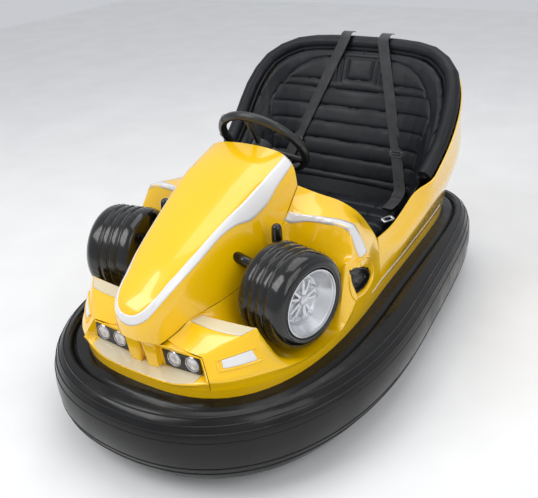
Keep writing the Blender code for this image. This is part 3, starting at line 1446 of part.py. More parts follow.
def build_rear_wheels():
    """The fixed rear axle with its hangers, and the two rear wheels."""
    tip = REAR_WHEEL_X + REAR_WHEEL_WIDTH / 2 + REAR_AXLE_OVERHANG
    axle = rod(
        "rear_axle", (-tip, REAR_WHEEL_Y, REAR_WHEEL_RADIUS), (tip, REAR_WHEEL_Y, REAR_WHEEL_RADIUS),
        REAR_AXLE_RADIUS, steel(), 24,
    )
    half = HANGER_THICKNESS / 2
    for side, name in ((1, "left"), (-1, "right")):
        x = side * RAIL_SPREAD
        hanger = box(
            f"hanger_{name}",
            (x - half, REAR_WHEEL_Y - HANGER_HALF_LENGTH, REAR_WHEEL_RADIUS - HANGER_DROP),
            (x + half, REAR_WHEEL_Y + HANGER_HALF_LENGTH, RAIL_BOTTOM - SEAT_GAP),
            steel(),
        )
        join(axle, hanger)
        turned(
            f"rear_wheel_{name}",
            wheel_profile(REAR_WHEEL_RADIUS, REAR_WHEEL_WIDTH, REAR_AXLE_RADIUS + SEAT_GAP),
            (side * REAR_WHEEL_X, REAR_WHEEL_Y, REAR_WHEEL_RADIUS), (1, 0, 0), black_rubber(), 36,
        )


build_bumper()
build_chassis()
build_hood()
build_sides()
build_lamps(build_fascia())
build_cowl()
build_seat()
build_belts()
build_mock_wheels()
build_dash(*build_steering())
build_pedal()
build_drive_unit()
build_rear_wheels()
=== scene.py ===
"""The looks of a two-place bumper car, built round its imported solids."""

import json
import math

import bmesh
import bpy
from mathutils import Matrix, Vector
from mathutils.bvhtree import BVHTree


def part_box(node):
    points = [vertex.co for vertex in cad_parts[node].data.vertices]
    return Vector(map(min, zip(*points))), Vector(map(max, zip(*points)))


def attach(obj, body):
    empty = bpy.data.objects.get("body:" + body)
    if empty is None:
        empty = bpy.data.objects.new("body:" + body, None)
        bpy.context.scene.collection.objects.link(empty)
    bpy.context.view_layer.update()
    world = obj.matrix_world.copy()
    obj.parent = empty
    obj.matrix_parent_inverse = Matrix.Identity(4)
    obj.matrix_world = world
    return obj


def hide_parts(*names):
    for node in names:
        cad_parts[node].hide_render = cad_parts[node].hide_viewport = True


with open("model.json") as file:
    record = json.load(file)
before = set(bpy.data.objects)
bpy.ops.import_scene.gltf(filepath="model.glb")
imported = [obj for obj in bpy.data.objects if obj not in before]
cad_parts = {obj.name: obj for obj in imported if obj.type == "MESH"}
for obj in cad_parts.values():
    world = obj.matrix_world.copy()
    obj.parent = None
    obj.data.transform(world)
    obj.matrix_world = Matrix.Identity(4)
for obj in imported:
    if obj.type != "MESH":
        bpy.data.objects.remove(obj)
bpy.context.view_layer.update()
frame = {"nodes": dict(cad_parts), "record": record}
NODES = frame["nodes"]

# Camera, fitted to the photograph
CAMERA_PLACE = (1.295, -1.994, 1.559)
CAMERA_RIGHT = (0.8378, 0.5432, -0.0542)
CAMERA_UP = (-0.2100, 0.4124, 0.8863)
CAMERA_BACK = (0.5039, -0.7312, 0.4597)
CAMERA_LENS = 47.74

FLOOR_SIZE = 14.0

NOISE, CELLS, WAVE = "ShaderNodeTexNoise", "ShaderNodeTexVoronoi", "ShaderNodeTexWave"
# Where a texture's two colours start and end on its ramp
RAMP_START, RAMP_END = 0.35, 0.65


def surface(name, colour, roughness, tint, gloss=None, bumps=(), metallic=0.0, **extra):
    """A node-based material. Tint and gloss are (scale, low, high, detail) of slow noise,
    and each bump is (texture, scale, strength, depth, settings), on top of the ones before."""
    material = bpy.data.materials.new(name)
    material.use_nodes = True
    nodes, links = material.node_tree.nodes, material.node_tree.links
    sockets = nodes["Principled BSDF"].inputs
    sockets["Base Color"].default_value = (*colour, 1.0)
    sockets["Roughness"].default_value = roughness
    sockets["Metallic"].default_value = metallic
    for socket, value in extra.items():
        sockets[socket.replace("_", " ")].default_value = value
    place = nodes.new("ShaderNodeTexCoord").outputs["Object"]

    def texture(kind, scale, settings):
        node = nodes.new(kind)
        links.new(place, node.inputs["Vector"])
        node.inputs["Scale"].default_value = scale
        for key, value in settings.items():
            if key in node.inputs:
                node.inputs[key].default_value = value
            else:
                setattr(node, key, value)
        return node.outputs["Fac" if kind == WAVE else 0]

    def ramp(socket, scale, low, high, detail):
        node = nodes.new("ShaderNodeValToRGB")
        first, second = node.color_ramp.elements
        first.position, first.color = RAMP_START, (*low, 1.0)
        second.position, second.color = RAMP_END, (*high, 1.0)
        links.new(texture(NOISE, scale, {"Detail": detail}), node.inputs["Fac"])
        links.new(node.outputs["Color"], sockets[socket])

    ramp("Base Color", *tint)
    if gloss:
        scale, low, high, detail = gloss
        ramp("Roughness", scale, (low,) * 3, (high,) * 3, detail)
    for kind, scale, strength, depth, settings in bumps:
        node = nodes.new("ShaderNodeBump")
        node.inputs["Strength"].default_value = strength
        node.inputs["Distance"].default_value = depth
        links.new(texture(kind, scale, settings), node.inputs["Height"])
        if sockets["Normal"].links:
            links.new(sockets["Normal"].links[0].from_socket, node.inputs["Normal"])
        links.new(node.outputs["Normal"], sockets["Normal"])
    return material


def gelcoat(name, colour, shade):
    """Glossy moulded glass-fibre with a clear coat and a faint ripple."""
    ripple = (NOISE, 34.0, 0.05, 0.002, {"Detail": 2.0})
    return surface(
        name, colour, 0.22, (2.2, shade, colour, 3.0), (7.0, 0.16, 0.28, 4.0), [ripple],
        Coat_Weight=0.9, Coat_Roughness=0.04,
    )


def rubber(name, grey, low, high, coat):
    """Black rubber: smudged gloss and a fine moulded skin."""
    tint = (5.0, (grey * 0.7,) * 3, (grey * 1.5,) * 3, 5.0)
    skin = (NOISE, 420.0, 0.10, 0.0006, {"Detail": 3.0})
    return surface(
        name, (grey,) * 3, low, tint, (9.0, low, high, 6.0), [skin],
        Coat_Weight=coat, Coat_Roughness=0.12, Specular_IOR_Level=0.3,
    )


def moulding(name, grey, low, high, grain):
    """Black plastic with a fine pebbled grain."""
    tint = (6.0, (grey * 0.8,) * 3, (grey * 1.3,) * 3, 3.0)
    pebbles = (CELLS, 900.0, grain, 0.0005, {})
    return surface(
        name, (grey,) * 3, low, tint, (11.0, low, high, 4.0), [pebbles],
        Coat_Weight=0.2, Coat_Roughness=0.1,
    )


def vinyl():
    """Padded black vinyl with a hide grain and worn, brighter folds."""
    tint = (7.0, (0.005, 0.006, 0.008), (0.011, 0.012, 0.015), 5.0)
    grain = (CELLS, 520.0, 0.30, 0.0006, {"feature": "DISTANCE_TO_EDGE"})
    folds = (NOISE, 22.0, 0.12, 0.004, {"Detail": 4.0, "Distortion": 0.6})
    return surface(
        "seat_vinyl_finish", (0.006, 0.007, 0.009), 0.42, tint, (14.0, 0.34, 0.52, 6.0),
        [grain, folds], Specular_IOR_Level=0.3,
    )


def silver_paint():
    """Silver paint with fine flake."""
    tint = (9.0, (0.55, 0.56, 0.58), (0.74, 0.75, 0.77), 5.0)
    flake = (CELLS, 1500.0, 0.06, 0.0003, {})
    return surface(
        "rim_silver_finish", (0.66, 0.67, 0.69), 0.3, tint, (16.0, 0.22, 0.40, 5.0), [flake],
        0.75, Coat_Weight=0.5,
    )


def painted_steel(name, grey, metallic=0.4):
    """Black or grey paint on steel, with dust and a light orange peel."""
    tint = (8.0, (grey * 0.7,) * 3, (grey * 1.6 + 0.01,) * 3, 6.0)
    peel = (NOISE, 190.0, 0.15, 0.0006, {"Detail": 3.0})
    return surface(name, (grey,) * 3, 0.45, tint, (12.0, 0.35, 0.60, 6.0), [peel], metallic)


def lens_finish():
    """Clear glass over a bright, finely ribbed bowl."""
    tint = (60.0, (0.42, 0.40, 0.41), (0.78, 0.76, 0.76), 3.0)
    ribs = (CELLS, 260.0, 0.25, 0.0008, {})
    return surface(
        "lamp_lens_finish", (0.62, 0.60, 0.60), 0.08, tint, bumps=[ribs],
        Coat_Weight=1.0, Coat_Roughness=0.02,
    )


def webbing():
    """Woven black belt webbing."""
    tint = (30.0, (0.012, 0.012, 0.013), (0.030, 0.030, 0.032), 4.0)
    across = (WAVE, 260.0, 0.35, 0.0006, {"bands_direction": "X"})
    along = (WAVE, 200.0, 0.35, 0.0006, {"bands_direction": "Z"})
    return surface(
        "belt_webbing_finish", (0.018, 0.018, 0.020), 0.6, tint, bumps=[across, along],
        Sheen_Weight=0.3,
    )


YELLOW = gelcoat("body_yellow_finish", (1.0, 0.60, 0.0), (0.97, 0.56, 0.0))
PEARL = gelcoat("pearl_white_finish", (0.84, 0.83, 0.82), (0.74, 0.73, 0.73))
CREAM = gelcoat("cream_finish", (0.74, 0.66, 0.46), (0.66, 0.58, 0.40))
SLOT_FINISHES = {
    "body_yellow": YELLOW,
    "bumper_rubber": rubber("bumper_rubber_finish", 0.004, 0.16, 0.36, 0.12),
    "gloss_black": rubber("gloss_black_finish", 0.004, 0.08, 0.20, 0.6),
    "black_plastic": moulding("black_plastic_finish", 0.014, 0.28, 0.42, 0.2),
    "seat_vinyl": vinyl(),
    "rim_silver": silver_paint(),
    "frame_steel": painted_steel("frame_steel_finish", 0.035),
    "motor_grey": painted_steel("motor_grey_finish", 0.16, 0.6),
    "wheel_rubber": rubber("wheel_rubber_finish", 0.020, 0.45, 0.65, 0.0),
    "wheel_grip": moulding("wheel_grip_finish", 0.010, 0.30, 0.45, 0.25),
    "lamp_lens": lens_finish(),
    "belt_webbing": webbing(),
}
SLOT_OF = {sub["node"]: sub["material_slot"] for sub in frame["record"]["subparts"]}


def dress_nodes():
    """Each CAD node takes the finish of its slot."""
    for name, node in NODES.items():
        node.data.materials.clear()
        node.data.materials.append(SLOT_FINISHES[SLOT_OF[name]])


# Mesh helpers
JOIN_DEG, SHAPE_DEG = 60.0, 80.0
MERGE = 0.00001
# Turns above which edges are sharp, held fully and held a little
SHARP_DEG = 34.0
CREASE_DEG = 62.0
SOFT_DEG = 36.0
CORNER_DEG = 38.0
SOFT_CREASE = 0.55
# Paintwork: height over the surface, reach of rays, farthest move, thickness
LIFT, REACH, NEAR = 0.0009, 0.03, 0.02
PLATE = 0.0016
CURVE_STEPS = 16
TURN_STEPS = 40
# How far off rays start
RAY, HUB_RAY, SIDE_RAY = 0.4, 0.2, 0.1
UP = Vector((0, 0, 1))
AHEAD = Vector((0, -1, 0))
SIDES = ((1, "left"), (-1, "right"))
BODY_OF = {
    node: body for body, nodes in frame["record"]["behaviour"]["bodies"].items() for node in nodes
}


def copied(node):
    """The node's faces in a new mesh, paired up into quads."""
    mesh = bmesh.new()
    mesh.from_mesh(NODES[node].data)
    bmesh.ops.remove_doubles(mesh, verts=mesh.verts, dist=MERGE)
    bmesh.ops.join_triangles(
        mesh, faces=mesh.faces[:], angle_face_threshold=math.radians(JOIN_DEG),
        angle_shape_threshold=math.radians(SHAPE_DEG),
    )
    return mesh


def placed(name, data):
    """A new object of the data, put into the scene."""
    obj = bpy.data.objects.new(name, data)
    bpy.context.scene.collection.objects.link(obj)
    return obj


def new_piece(name, mesh, slot, body="body", finish=None, replaced=(), smooth_deg=SHARP_DEG):
    """A new object of the mesh that rides on a body."""
    data = bpy.data.meshes.new(name)
    bmesh.ops.recalc_face_normals(mesh, faces=mesh.faces)
    mesh.to_mesh(data)
    mesh.free()
    data.materials.append(finish or SLOT_FINISHES[slot])
    data.shade_smooth()
    data.set_sharp_from_angle(angle=math.radians(smooth_deg))
    obj = placed(name, data)
    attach(obj, body)
    if replaced:
        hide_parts(*replaced)
    return obj


def modified(obj, name, kind, **settings):
    """The object with a modifier that is made part of its mesh."""
    modifier = obj.modifiers.new(name, kind)
    for key, value in settings.items():
        setattr(modifier, key, value)
    graph = bpy.context.evaluated_depsgraph_get()
    old = obj.data
    obj.data = bpy.data.meshes.new_from_object(obj.evaluated_get(graph))
    obj.modifiers.clear()
    bpy.data.meshes.remove(old)
    return obj


def subdivided(obj, levels):
    """The object with a smooth surface."""
    return modified(obj, "smooth", "SUBSURF", levels=levels, render_levels=levels)


def softened(node, levels=2, full_deg=CREASE_DEG, soft_deg=SOFT_DEG, soft=SOFT_CREASE):
    """A smooth copy of the node, with its sharp edges held, that stands for it."""
    mesh = copied(node)
    layer = mesh.edges.layers.float.new("crease_edge")
    for edge in mesh.edges:
        turn = math.degrees(edge.calc_face_angle(math.pi))
        edge[layer] = 1.0 if turn > full_deg else soft if turn > soft_deg else 0.0
    held = mesh.verts.layers.float.new("crease_vert")
    for vertex in mesh.verts:
        ends = [edge.other_vert(vertex).co for edge in vertex.link_edges if edge[layer] == 1.0]
        ways = [end - vertex.co for end in ends]
        if len(ways) == 2 and ways[0].angle(ways[1]) < math.radians(180.0 - CORNER_DEG):
            vertex[held] = 1.0
    skin = new_piece(f"{node}_skin", mesh, SLOT_OF[node], BODY_OF[node], replaced=(node,))
    return subdivided(skin, levels)


def tree_of(*objs):
    """The objects' faces as a tree that rays are cast at."""
    points, faces = [], []
    for obj in objs:
        start = len(points)
        points += [tuple(v.co) for v in obj.data.vertices]
        faces += [tuple(start + i for i in face.vertices) for face in obj.data.polygons]
    return BVHTree.FromPolygons(points, faces)


def flipped(points):
    return [Vector((-p.x, p.y, p.z)) for p in points]


def sided(line, side):
    """The left side's line, or its mirror image for the right."""
    return line if side > 0 else flipped(line)


def vectors(rows):
    """Points given in millimetres."""
    return [Vector(row) / 1000 for row in rows]


def curve_through(points, count, closed=False):
    """count points evenly along a smooth line through the points."""
    ends = points[-1:] + points + points[:2] if closed else points[:1] + points + points[-1:]
    line = []
    for a, b, c, d in zip(ends, ends[1:], ends[2:], ends[3:]):
        for k in range(CURVE_STEPS):
            s = k / CURVE_STEPS
            line.append(
                ((2 * b) + (c - a) * s + (2 * a - 5 * b + 4 * c - d) * s * s
                 + (3 * b - a - 3 * c + d) * s * s * s) / 2
            )
    line.append(points[0 if closed else -1])
    lengths = [0.0]
    for p, q in zip(line, line[1:]):
        lengths.append(lengths[-1] + (q - p).length)
    result = []
    steps = count if closed else count - 1
    at = 0
    for k in range(count):
        want = lengths[-1] * k / steps
        while at < len(line) - 2 and lengths[at + 1] < want:
            at += 1
        span = lengths[at + 1] - lengths[at]
        result.append(line[at].lerp(line[at + 1], (want - lengths[at]) / span if span else 0.0))
    return result


def dropped(tree, point, outward, reach=REACH, lift=LIFT):
    """Where the point lands on the surface when it is pushed in from outside."""
    outward = outward.normalized()
    hit, normal, _, _ = tree.ray_cast(point + outward * reach, -outward, 2 * reach)
    if hit is None:
        return None
    normal = normal if normal.dot(outward) > 0 else -normal
    return hit + normal * lift


def landings(tree, starts, way):
    """Where rays from the starts meet the surface, without those that miss it."""
    hits = [tree.ray_cast(start, way)[0] for start in starts]
    return [hit for hit in hits if hit is not None]


def skin_of(grid):
    """A skin over a grid of points, without the cells that have a gap."""
    mesh = bmesh.new()
    rows = [[mesh.verts.new(p) if p is not None else None for p in row] for row in grid]
    for a, b in zip(rows, rows[1:]):
        for i in range(len(a) - 1):
            corners = (a[i], a[i + 1], b[i + 1], b[i])
            if None not in corners:
                mesh.faces.new(corners)
    loose = [v for v in mesh.verts if not v.link_faces]
    bmesh.ops.delete(mesh, geom=loose, context="VERTS")
    return mesh


def plate(name, grid, finish, offset):
    """A thin plate of the body over a grid of points."""
    obj = new_piece(name, skin_of(grid), "body_yellow", finish=finish)
    modified(obj, "wall", "SOLIDIFY", thickness=PLATE, offset=offset)


def band(name, edges, tree, outward, finish, count, across=4, reach=REACH, near=NEAR):
    """A painted band between two lines, laid on the surface of the tree."""
    grid = []
    for p, q in zip(*(curve_through(edge, count) for edge in edges)):
        row = []
        for k in range(across + 1):
            point = p.lerp(q, k / across)
            place = dropped(tree, point, outward(point), reach)
            row.append(place if place is not None and (place - point).length < near else None)
        grid.append(row)
    plate(name, grid, finish, 0.0)


def turns(count, shift=0.0):
    """Cosine and sine of even turns, the first moved on by a share of a step."""
    angles = [2 * math.pi * (k + shift) / count for k in range(count)]
    return [(math.cos(angle), math.sin(angle)) for angle in angles]


def lofted(mesh, rings, capped=True):
    """Joins rings of points by faces, one to the next, and caps the ends."""
    for a, b in zip(rings, rings[1:]):
        for k in range(len(a)):
            n = (k + 1) % len(a)
            mesh.faces.new((a[k], a[n], b[n], b[k]))
    if capped:
        mesh.faces.new(rings[0])
        mesh.faces.new(rings[-1])


def tube(name, points, radius, slot, body="body", closed=False, sides=8):
    """A round bead along a line of points."""
    mesh = bmesh.new()
    rings = []
    count = len(points)
    side = None
    for i, point in enumerate(points):
        a = points[i - 1] if i or closed else point
        b = points[(i + 1) % count] if i < count - 1 or closed else point
        along = (b - a).normalized()
        side = along.orthogonal() if side is None else side
        side = (side - along * side.dot(along)).normalized()
        other = along.cross(side)
        ring = [point + (side * c + other * s) * radius for c, s in turns(sides)]
        rings.append([mesh.verts.new(corner) for corner in ring])
    if closed:
        last, first = rings[-1], rings[0]
        shift = min(range(sides), key=lambda k: (last[0].co - first[k].co).length)
        rings.append(first[shift:] + first[:shift])
    lofted(mesh, rings, capped=not closed)
    new_piece(name, mesh, slot, body)


def frame_at(centre, axis):
    """The place of a turned piece, its Z along the axis."""
    turn = Vector(axis).normalized().to_track_quat("Z", "Y").to_matrix().to_4x4()
    return Matrix.Translation(centre) @ turn


def circle(place, radius, along, count, shift=0.0):
    """Points on a circle about the place's Z."""
    return [place @ Vector((radius * c, radius * s, along)) for c, s in turns(count, shift)]


def rounded(steps, power):
    """Points round a square of half width 1 with rounded corners, as pairs."""
    return [[math.copysign(abs(v) ** power, v) for v in pair] for pair in turns(steps)]


def turned_mesh(profile, place, steps):
    """A mesh turned from (radius, along) points about the place's Z."""
    mesh = bmesh.new()
    rings = []
    for radius, along in profile:
        if radius == 0.0:
            rings.append([mesh.verts.new(place @ Vector((0.0, 0.0, along)))] * steps)
        else:
            rings.append([mesh.verts.new(point) for point in circle(place, radius, along, steps)])
    loop = profile[0][0] != 0.0 or profile[-1][0] != 0.0
    for a, b in zip(rings, rings[1:] + (rings[:1] if loop else [])):
        for k in range(steps):
            n = (k + 1) % steps
            corners = list(dict.fromkeys((a[k], a[n], b[n], b[k])))
            if len(corners) > 2:
                mesh.faces.new(corners)
    return mesh


def turned(name, profile, centre, axis, slot, body="body"):
    """A piece turned from a profile, standing on a point along an axis."""
    mesh = turned_mesh(profile, frame_at(centre, axis), TURN_STEPS)
    new_piece(name, mesh, slot, body)


# A bolt's washer and head: count of steps, then shares of the bolt's radius and height
BOLT_PARTS = (
    (20, ((0.0, 0.0), (1.45, 0.0), (1.45, 0.25), (0.0, 0.25))),
    (6, ((0.0, 0.2), (1.0, 0.2), (1.0, 0.8), (0.8, 1.0), (0.0, 1.0))),
)


def bolts(name, places, axis, radius, height, slot, body="body"):
    """Domed hexagon bolts on washers, heads along the axis, all in one piece."""
    whole = bmesh.new()
    for place in places:
        for steps, shares in BOLT_PARTS:
            profile = [(radius * wide, height * high) for wide, high in shares]
            part = turned_mesh(profile, frame_at(Vector(place), axis), steps)
            data = bpy.data.meshes.new("bolt")
            part.to_mesh(data)
            part.free()
            whole.from_mesh(data)
            bpy.data.meshes.remove(data)
    new_piece(name, whole, slot, body)


# Body
# Hood stripe from the rear to the nose, left side, in millimetres: inner x, y, z, outer x, y, z
STRIPE_POINTS = (
    (139, -199, 786, 168, -199, 760), (142, -253, 771, 170, -262, 735), (140, -300, 755, 169, -301, 715),
    (140, -335, 743, 168, -337, 690), (136, -380, 727, 164, -379, 671), (130, -427, 708, 155, -425, 657),
    (121, -470, 691, 141, -470, 659), (116, -500, 680, 132, -502, 655), (108, -548, 659, 122, -548, 640),
    (98, -620, 628, 112, -624, 606), (84, -695, 592, 99, -700, 572), (75, -728, 575, 90, -738, 552),
    (69, -762, 555, 83, -768, 536), (59, -796, 537, 75, -797, 519), (46, -817, 521, 62, -817, 500),
    (25, -829, 509, 38, -831, 484), (0, -833, 506, 0, -837, 474),
)
# Arch band from the hood to its lower end, left side, in millimetres: outer, then inner edge
ARCH_POINTS = (
    (194, -266, 626, 194, -287, 600), (225, -262, 622, 237, -271, 604), (275, -254, 618, 283, -267, 610),
    (323, -240, 616, 332, -264, 611), (354, -229, 614, 362, -262, 611), (382, -225, 609, 384, -262, 606),
    (398, -219, 595, 402, -262, 590), (409, -210, 570, 412, -261, 565), (421, -203, 541, 421, -259, 538),
    (431, -199, 511, 428, -249, 511),
)
# Wing plate on the deck beside the nose, left side, in millimetres: front edge, then rear edge
WING_POINTS = (
    (113, -697, 440, 128, -655, 447), (150, -699, 440, 165, -653, 447), (199, -700, 439, 215, -652, 448),
    (245, -698, 440, 262, -652, 450), (286, -692, 443, 318, -656, 456),
)
# Splitter shelf from the middle out, left side, in millimetres: rear edge, then front edge
SHELF_POINTS = (
    (0, -779, 316, 0, -834, 311), (60, -778, 317, 60, -833, 311), (100, -776, 320, 102, -830, 312),
    (150, -775, 325, 140, -825, 313), (176, -775, 329, 168, -817, 317), (200, -776, 330, 196, -806, 322),
)
# Side window plate, left side, in millimetres: top edge, then bottom edge
WINDOW_POINTS = (
    (255, -750, 386, 266, -758, 366), (288, -722, 397, 305, -728, 372),
    (320, -690, 407, 342, -690, 379),
)
# Pinstripe along the sill, left side, in millimetres
SILL_POINTS = (
    (424, -128, 318), (424, -40, 322), (420, 80, 328), (412, 220, 334), (402, 360, 338),
    (394, 480, 341), (386, 590, 343),
)
# The pinstripe's width, and its shares of it from one end to the other
SILL_WIDTH = 0.007
SILL_SHARES = (0.15, 0.7, 1.0, 1.0, 1.0, 1.0, 1.0, 0.7, 0.15)
# Web under the seam of hood, deck and fascia, left side, in millimetres: front edge, then rear edge
WEB_POINTS = (
    (71, -793, 400, 85, -768, 414), (100, -787, 397, 105, -765, 407), (135, -781, 393, 135, -764, 399),
    (172, -776, 389, 172, -766, 394),
)
# Duct mouth, left side, in millimetres
DUCT_POINTS = (
    (425, -313, 470), (429, -296, 502), (433, -256, 507), (430, -205, 496), (424, -158, 458),
    (421, -128, 405), (421, -130, 378), (421, -170, 357), (423, -230, 361), (425, -290, 384),
    (424, -312, 420),
)
# Web between the two fangs in millimetres: top edge, then lower edge
FANG_POINTS = (
    (-24, -778, 356, -14, -778, 322), (0, -778, 356, 0, -778, 322), (24, -778, 356, 14, -778, 322),
)
# Points inside the body that the bands are seen from, in metres
ARCH_HEART, WINDOW_HEART = (0.30, -0.15, 0.45), (0.24, -0.66, 0.35)
HOOD_HEART_Y, HOOD_HEART_Z, HOOD_LEAN = -0.70, 0.44, 1.4
WEB_STEPS = 4
WINDOW_FRAME_OUT, WINDOW_FRAME_STEPS, WINDOW_FRAME_RADIUS = 1.28, 8, 0.0035
LIP_POINTS, LIP_REACH, LIP_RADIUS = 72, 0.05, 0.0045
PIN_REACH, PIN_NEAR = 0.06, 0.05
SHELF_REACH, SHELF_NEAR = 0.012, 0.009


def halves(table):
    """The two edges of a table of points, in metres."""
    return vectors(row[:3] for row in table), vectors(row[3:] for row in table)


def both(line):
    """The left line, run on through the middle to its mirror image on the right."""
    return line + flipped(reversed(line[:-1]))


def away_from(x, y, z):
    """The direction from a point inside, for points on either side of the car."""
    def outward(point):
        return point - Vector((x if point.x >= 0 else -x, y, z))
    return outward


def build_skins():
    """Smooth copies of the moulded body panels, the fuller ones finer."""
    fine = ("nose_hood", "side_body_left", "side_body_right", "front_fascia", "rear_cowl")
    plain = ("duct_liner_left", "duct_liner_right", "lower_skirt", "rim_band", "dash_panel")
    return {node: softened(node, 2 if node in fine else 1) for node in fine + plain}


def off_hood(point):
    """The direction away from the hood's inside."""
    ahead = min(point.y - HOOD_HEART_Y, 0.0) * HOOD_LEAN
    return Vector((point.x, ahead, point.z - HOOD_HEART_Z))


def build_flank(skins, side, name):
    """One side's bands and plates, the web under its seam, its window frame and duct lip."""
    def edges(table):
        return [sided(line, side) for line in halves(table)]

    def outside(point):
        return Vector((side, 0, 0))

    body = tree_of(skins[f"side_body_{name}"])
    window = away_from(*WINDOW_HEART)
    top, low = edges(WINDOW_POINTS)
    band(f"arch_band_{name}", edges(ARCH_POINTS), body, away_from(*ARCH_HEART), PEARL, 90)
    band(f"wing_plate_{name}", edges(WING_POINTS), body, lambda p: UP, CREAM, 40, 10)
    band(f"side_window_{name}", (top, low), body, window, PEARL, 24, 6)
    grid = [
        [p.lerp(q, k / WEB_STEPS) for k in range(WEB_STEPS + 1)] for p, q in zip(*edges(WEB_POINTS))
    ]
    plate(f"seam_web_{name}", grid, YELLOW, -1.0)
    corners = top + low[::-1]
    middle = sum(corners, Vector()) / len(corners)
    line = []
    for p, q in zip(corners, corners[1:] + corners[:1]):
        for k in range(WINDOW_FRAME_STEPS):
            point = p.lerp(q, k / WINDOW_FRAME_STEPS)
            point = middle + (point - middle) * WINDOW_FRAME_OUT
            line.append(dropped(body, point, window(point), lift=0.0))
    line = [place for place in line if place is not None]
    tube(f"window_frame_{name}", line, WINDOW_FRAME_RADIUS, "body_yellow", closed=True)
    mouth = sided(curve_through(vectors(DUCT_POINTS), LIP_POINTS, closed=True), side)
    rim = [dropped(body, point, outside(point), LIP_REACH, 0.0) for point in mouth]
    rim = [place for place in rim if place is not None]
    tube(f"duct_lip_{name}", rim, LIP_RADIUS, "body_yellow", closed=True, sides=10)
    sill = sided(curve_through(vectors(SILL_POINTS), len(SILL_SHARES)), side)
    up = UP * SILL_WIDTH / 2
    pins = [[p + up * share * way for p, share in zip(sill, SILL_SHARES)] for way in (1, -1)]
    flank = tree_of(skins["rear_cowl"], skins[f"side_body_{name}"])
    band(f"pinstripe_{name}", pins, flank, outside, PEARL, 140, 2, PIN_REACH, PIN_NEAR)


def build_paintwork(skins):
    """The light stripe, bands, plates and pinstripes, laid on the body."""
    hood = tree_of(skins["nose_hood"])
    band("hood_stripe", [both(line) for line in halves(STRIPE_POINTS)], hood, off_hood, PEARL, 260, 6)
    for side, name in SIDES:
        build_flank(skins, side, name)
    fascia = tree_of(skins["front_fascia"])
    reach = (SHELF_REACH, SHELF_NEAR)
    shelf = [flipped(reversed(line[1:])) + line for line in halves(SHELF_POINTS)]
    band("splitter_shelf", shelf, fascia, lambda p: UP, CREAM, 160, 20, *reach)
    band("fang_web", halves(FANG_POINTS), fascia, lambda p: AHEAD, CREAM, 20, 10, *reach)
    for node in ("duct_liner_left", "duct_liner_right"):
        skins[node].name = f"{node}_cup"


# Bumper ring
# Ribs on the ring: height of the turn about the tube's middle in degrees, then bead radius
RIB_ROWS = (
    (64.0, 0.0028), (52.0, 0.0022), (40.0, 0.0028), (26.0, 0.0022), (-30.0, 0.0024), (-42.0, 0.0024),
)
# Rays round the ring: count, spread across, distance; then the tube's middle as a share
RIB_STATIONS, RING_SPREAD, RING_FAR = 220, 0.6, 2.0
RING_INSET = 0.42


def build_ring():
    """The ring's smooth rubber and its moulded ribs."""
    tree = tree_of(softened("bumper_tube", full_deg=75.0))
    low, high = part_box("bumper_tube")
    height = (low[2] + high[2]) / 2
    mids = []
    for c, s in turns(RIB_STATIONS):
        way = Vector((c * RING_SPREAD, s, 0.0)).normalized()
        far = Vector((0.0, 0.0, height)) + way * RING_FAR
        hit, normal, _, _ = tree.ray_cast(far, -way)
        flat = Vector((normal.x, normal.y, 0.0)).normalized()
        mids.append((hit - flat * (high[2] - low[2]) * RING_INSET, flat))
    for number, (rise, radius) in enumerate(RIB_ROWS):
        rise = math.radians(rise)
        line = []
        for middle, flat in mids:
            way = flat * math.cos(rise) + UP * math.sin(rise)
            line.append(tree.ray_cast(middle + way * RAY, -way)[0])
        tube(f"bumper_rib_{number}", line, radius, "bumper_rubber", closed=True, sides=6)


# Mock wheels
WHEEL_PLACE = {"left": (0.4001, -0.493, 0.470), "right": (-0.4001, -0.493, 0.470)}
WHEEL_TURN = {"left": (0.9816, -0.1908, 0.0), "right": (-0.9816, -0.1908, 0.0)}
# Cross marks on the tyre in metres: place along the axle and count, for each row
MARK_ROWS = ((-0.038, 44), (-0.074, 36), (-0.105, 36), (-0.138, 44))
# A mark's three stations: share of its turn in radians, place along the axle in metres
MARK_STATIONS = ((-1, -0.010), (0, 0.0), (1, 0.010))
MARK_TURN, MARK_HALF = 0.035, 0.0016
# A mark's section: share of its half width, height in metres
MARK_SECTION = ((1.0, -0.001), (0.4, 0.0011), (-0.4, 0.0011), (-1.0, -0.001))
# Beads on the tyre's side wall, at radii in metres
BEAD_RADII, BEAD_POINTS, BEAD_RADIUS = (0.118, 0.134), 96, 0.0013
# The rim's cap: radius, height in metres
RIM_CAP = (
    (0.0, -0.004), (0.017, -0.004), (0.017, 0.002), (0.0155, 0.005), (0.011, 0.0075), (0.0, 0.0085),
)
RIM_BOLT_RING, RIM_BOLTS = 0.029, 5
# Small heads sit this far into what carries them
HEAD_SUNK = 0.001


def build_tread_marks(name, tree, base, axis):
    """Fine raised marks across the tyre's tread."""
    whole = bmesh.new()
    for row, (along, count) in enumerate(MARK_ROWS):
        for k in range(count):
            turn = 2 * math.pi * (k + row % 2 / 2) / count
            rings = []
            for across, offset in MARK_STATIONS:
                angle = turn + across * MARK_TURN
                way = base.to_3x3() @ Vector((math.cos(angle), math.sin(angle), 0.0))
                start = base @ Vector((0.0, 0.0, along + offset))
                hit = tree.ray_cast(start + way * RAY, -way)[0]
                side = way.cross(axis).normalized() * MARK_HALF
                if hit is not None:
                    rings.append([hit + (side * a + way * b) for a, b in MARK_SECTION])
            if len(rings) == len(MARK_STATIONS):
                lofted(whole, [[whole.verts.new(point) for point in ring] for ring in rings])
    new_piece(f"tread_marks_{name}", whole, "gloss_black")


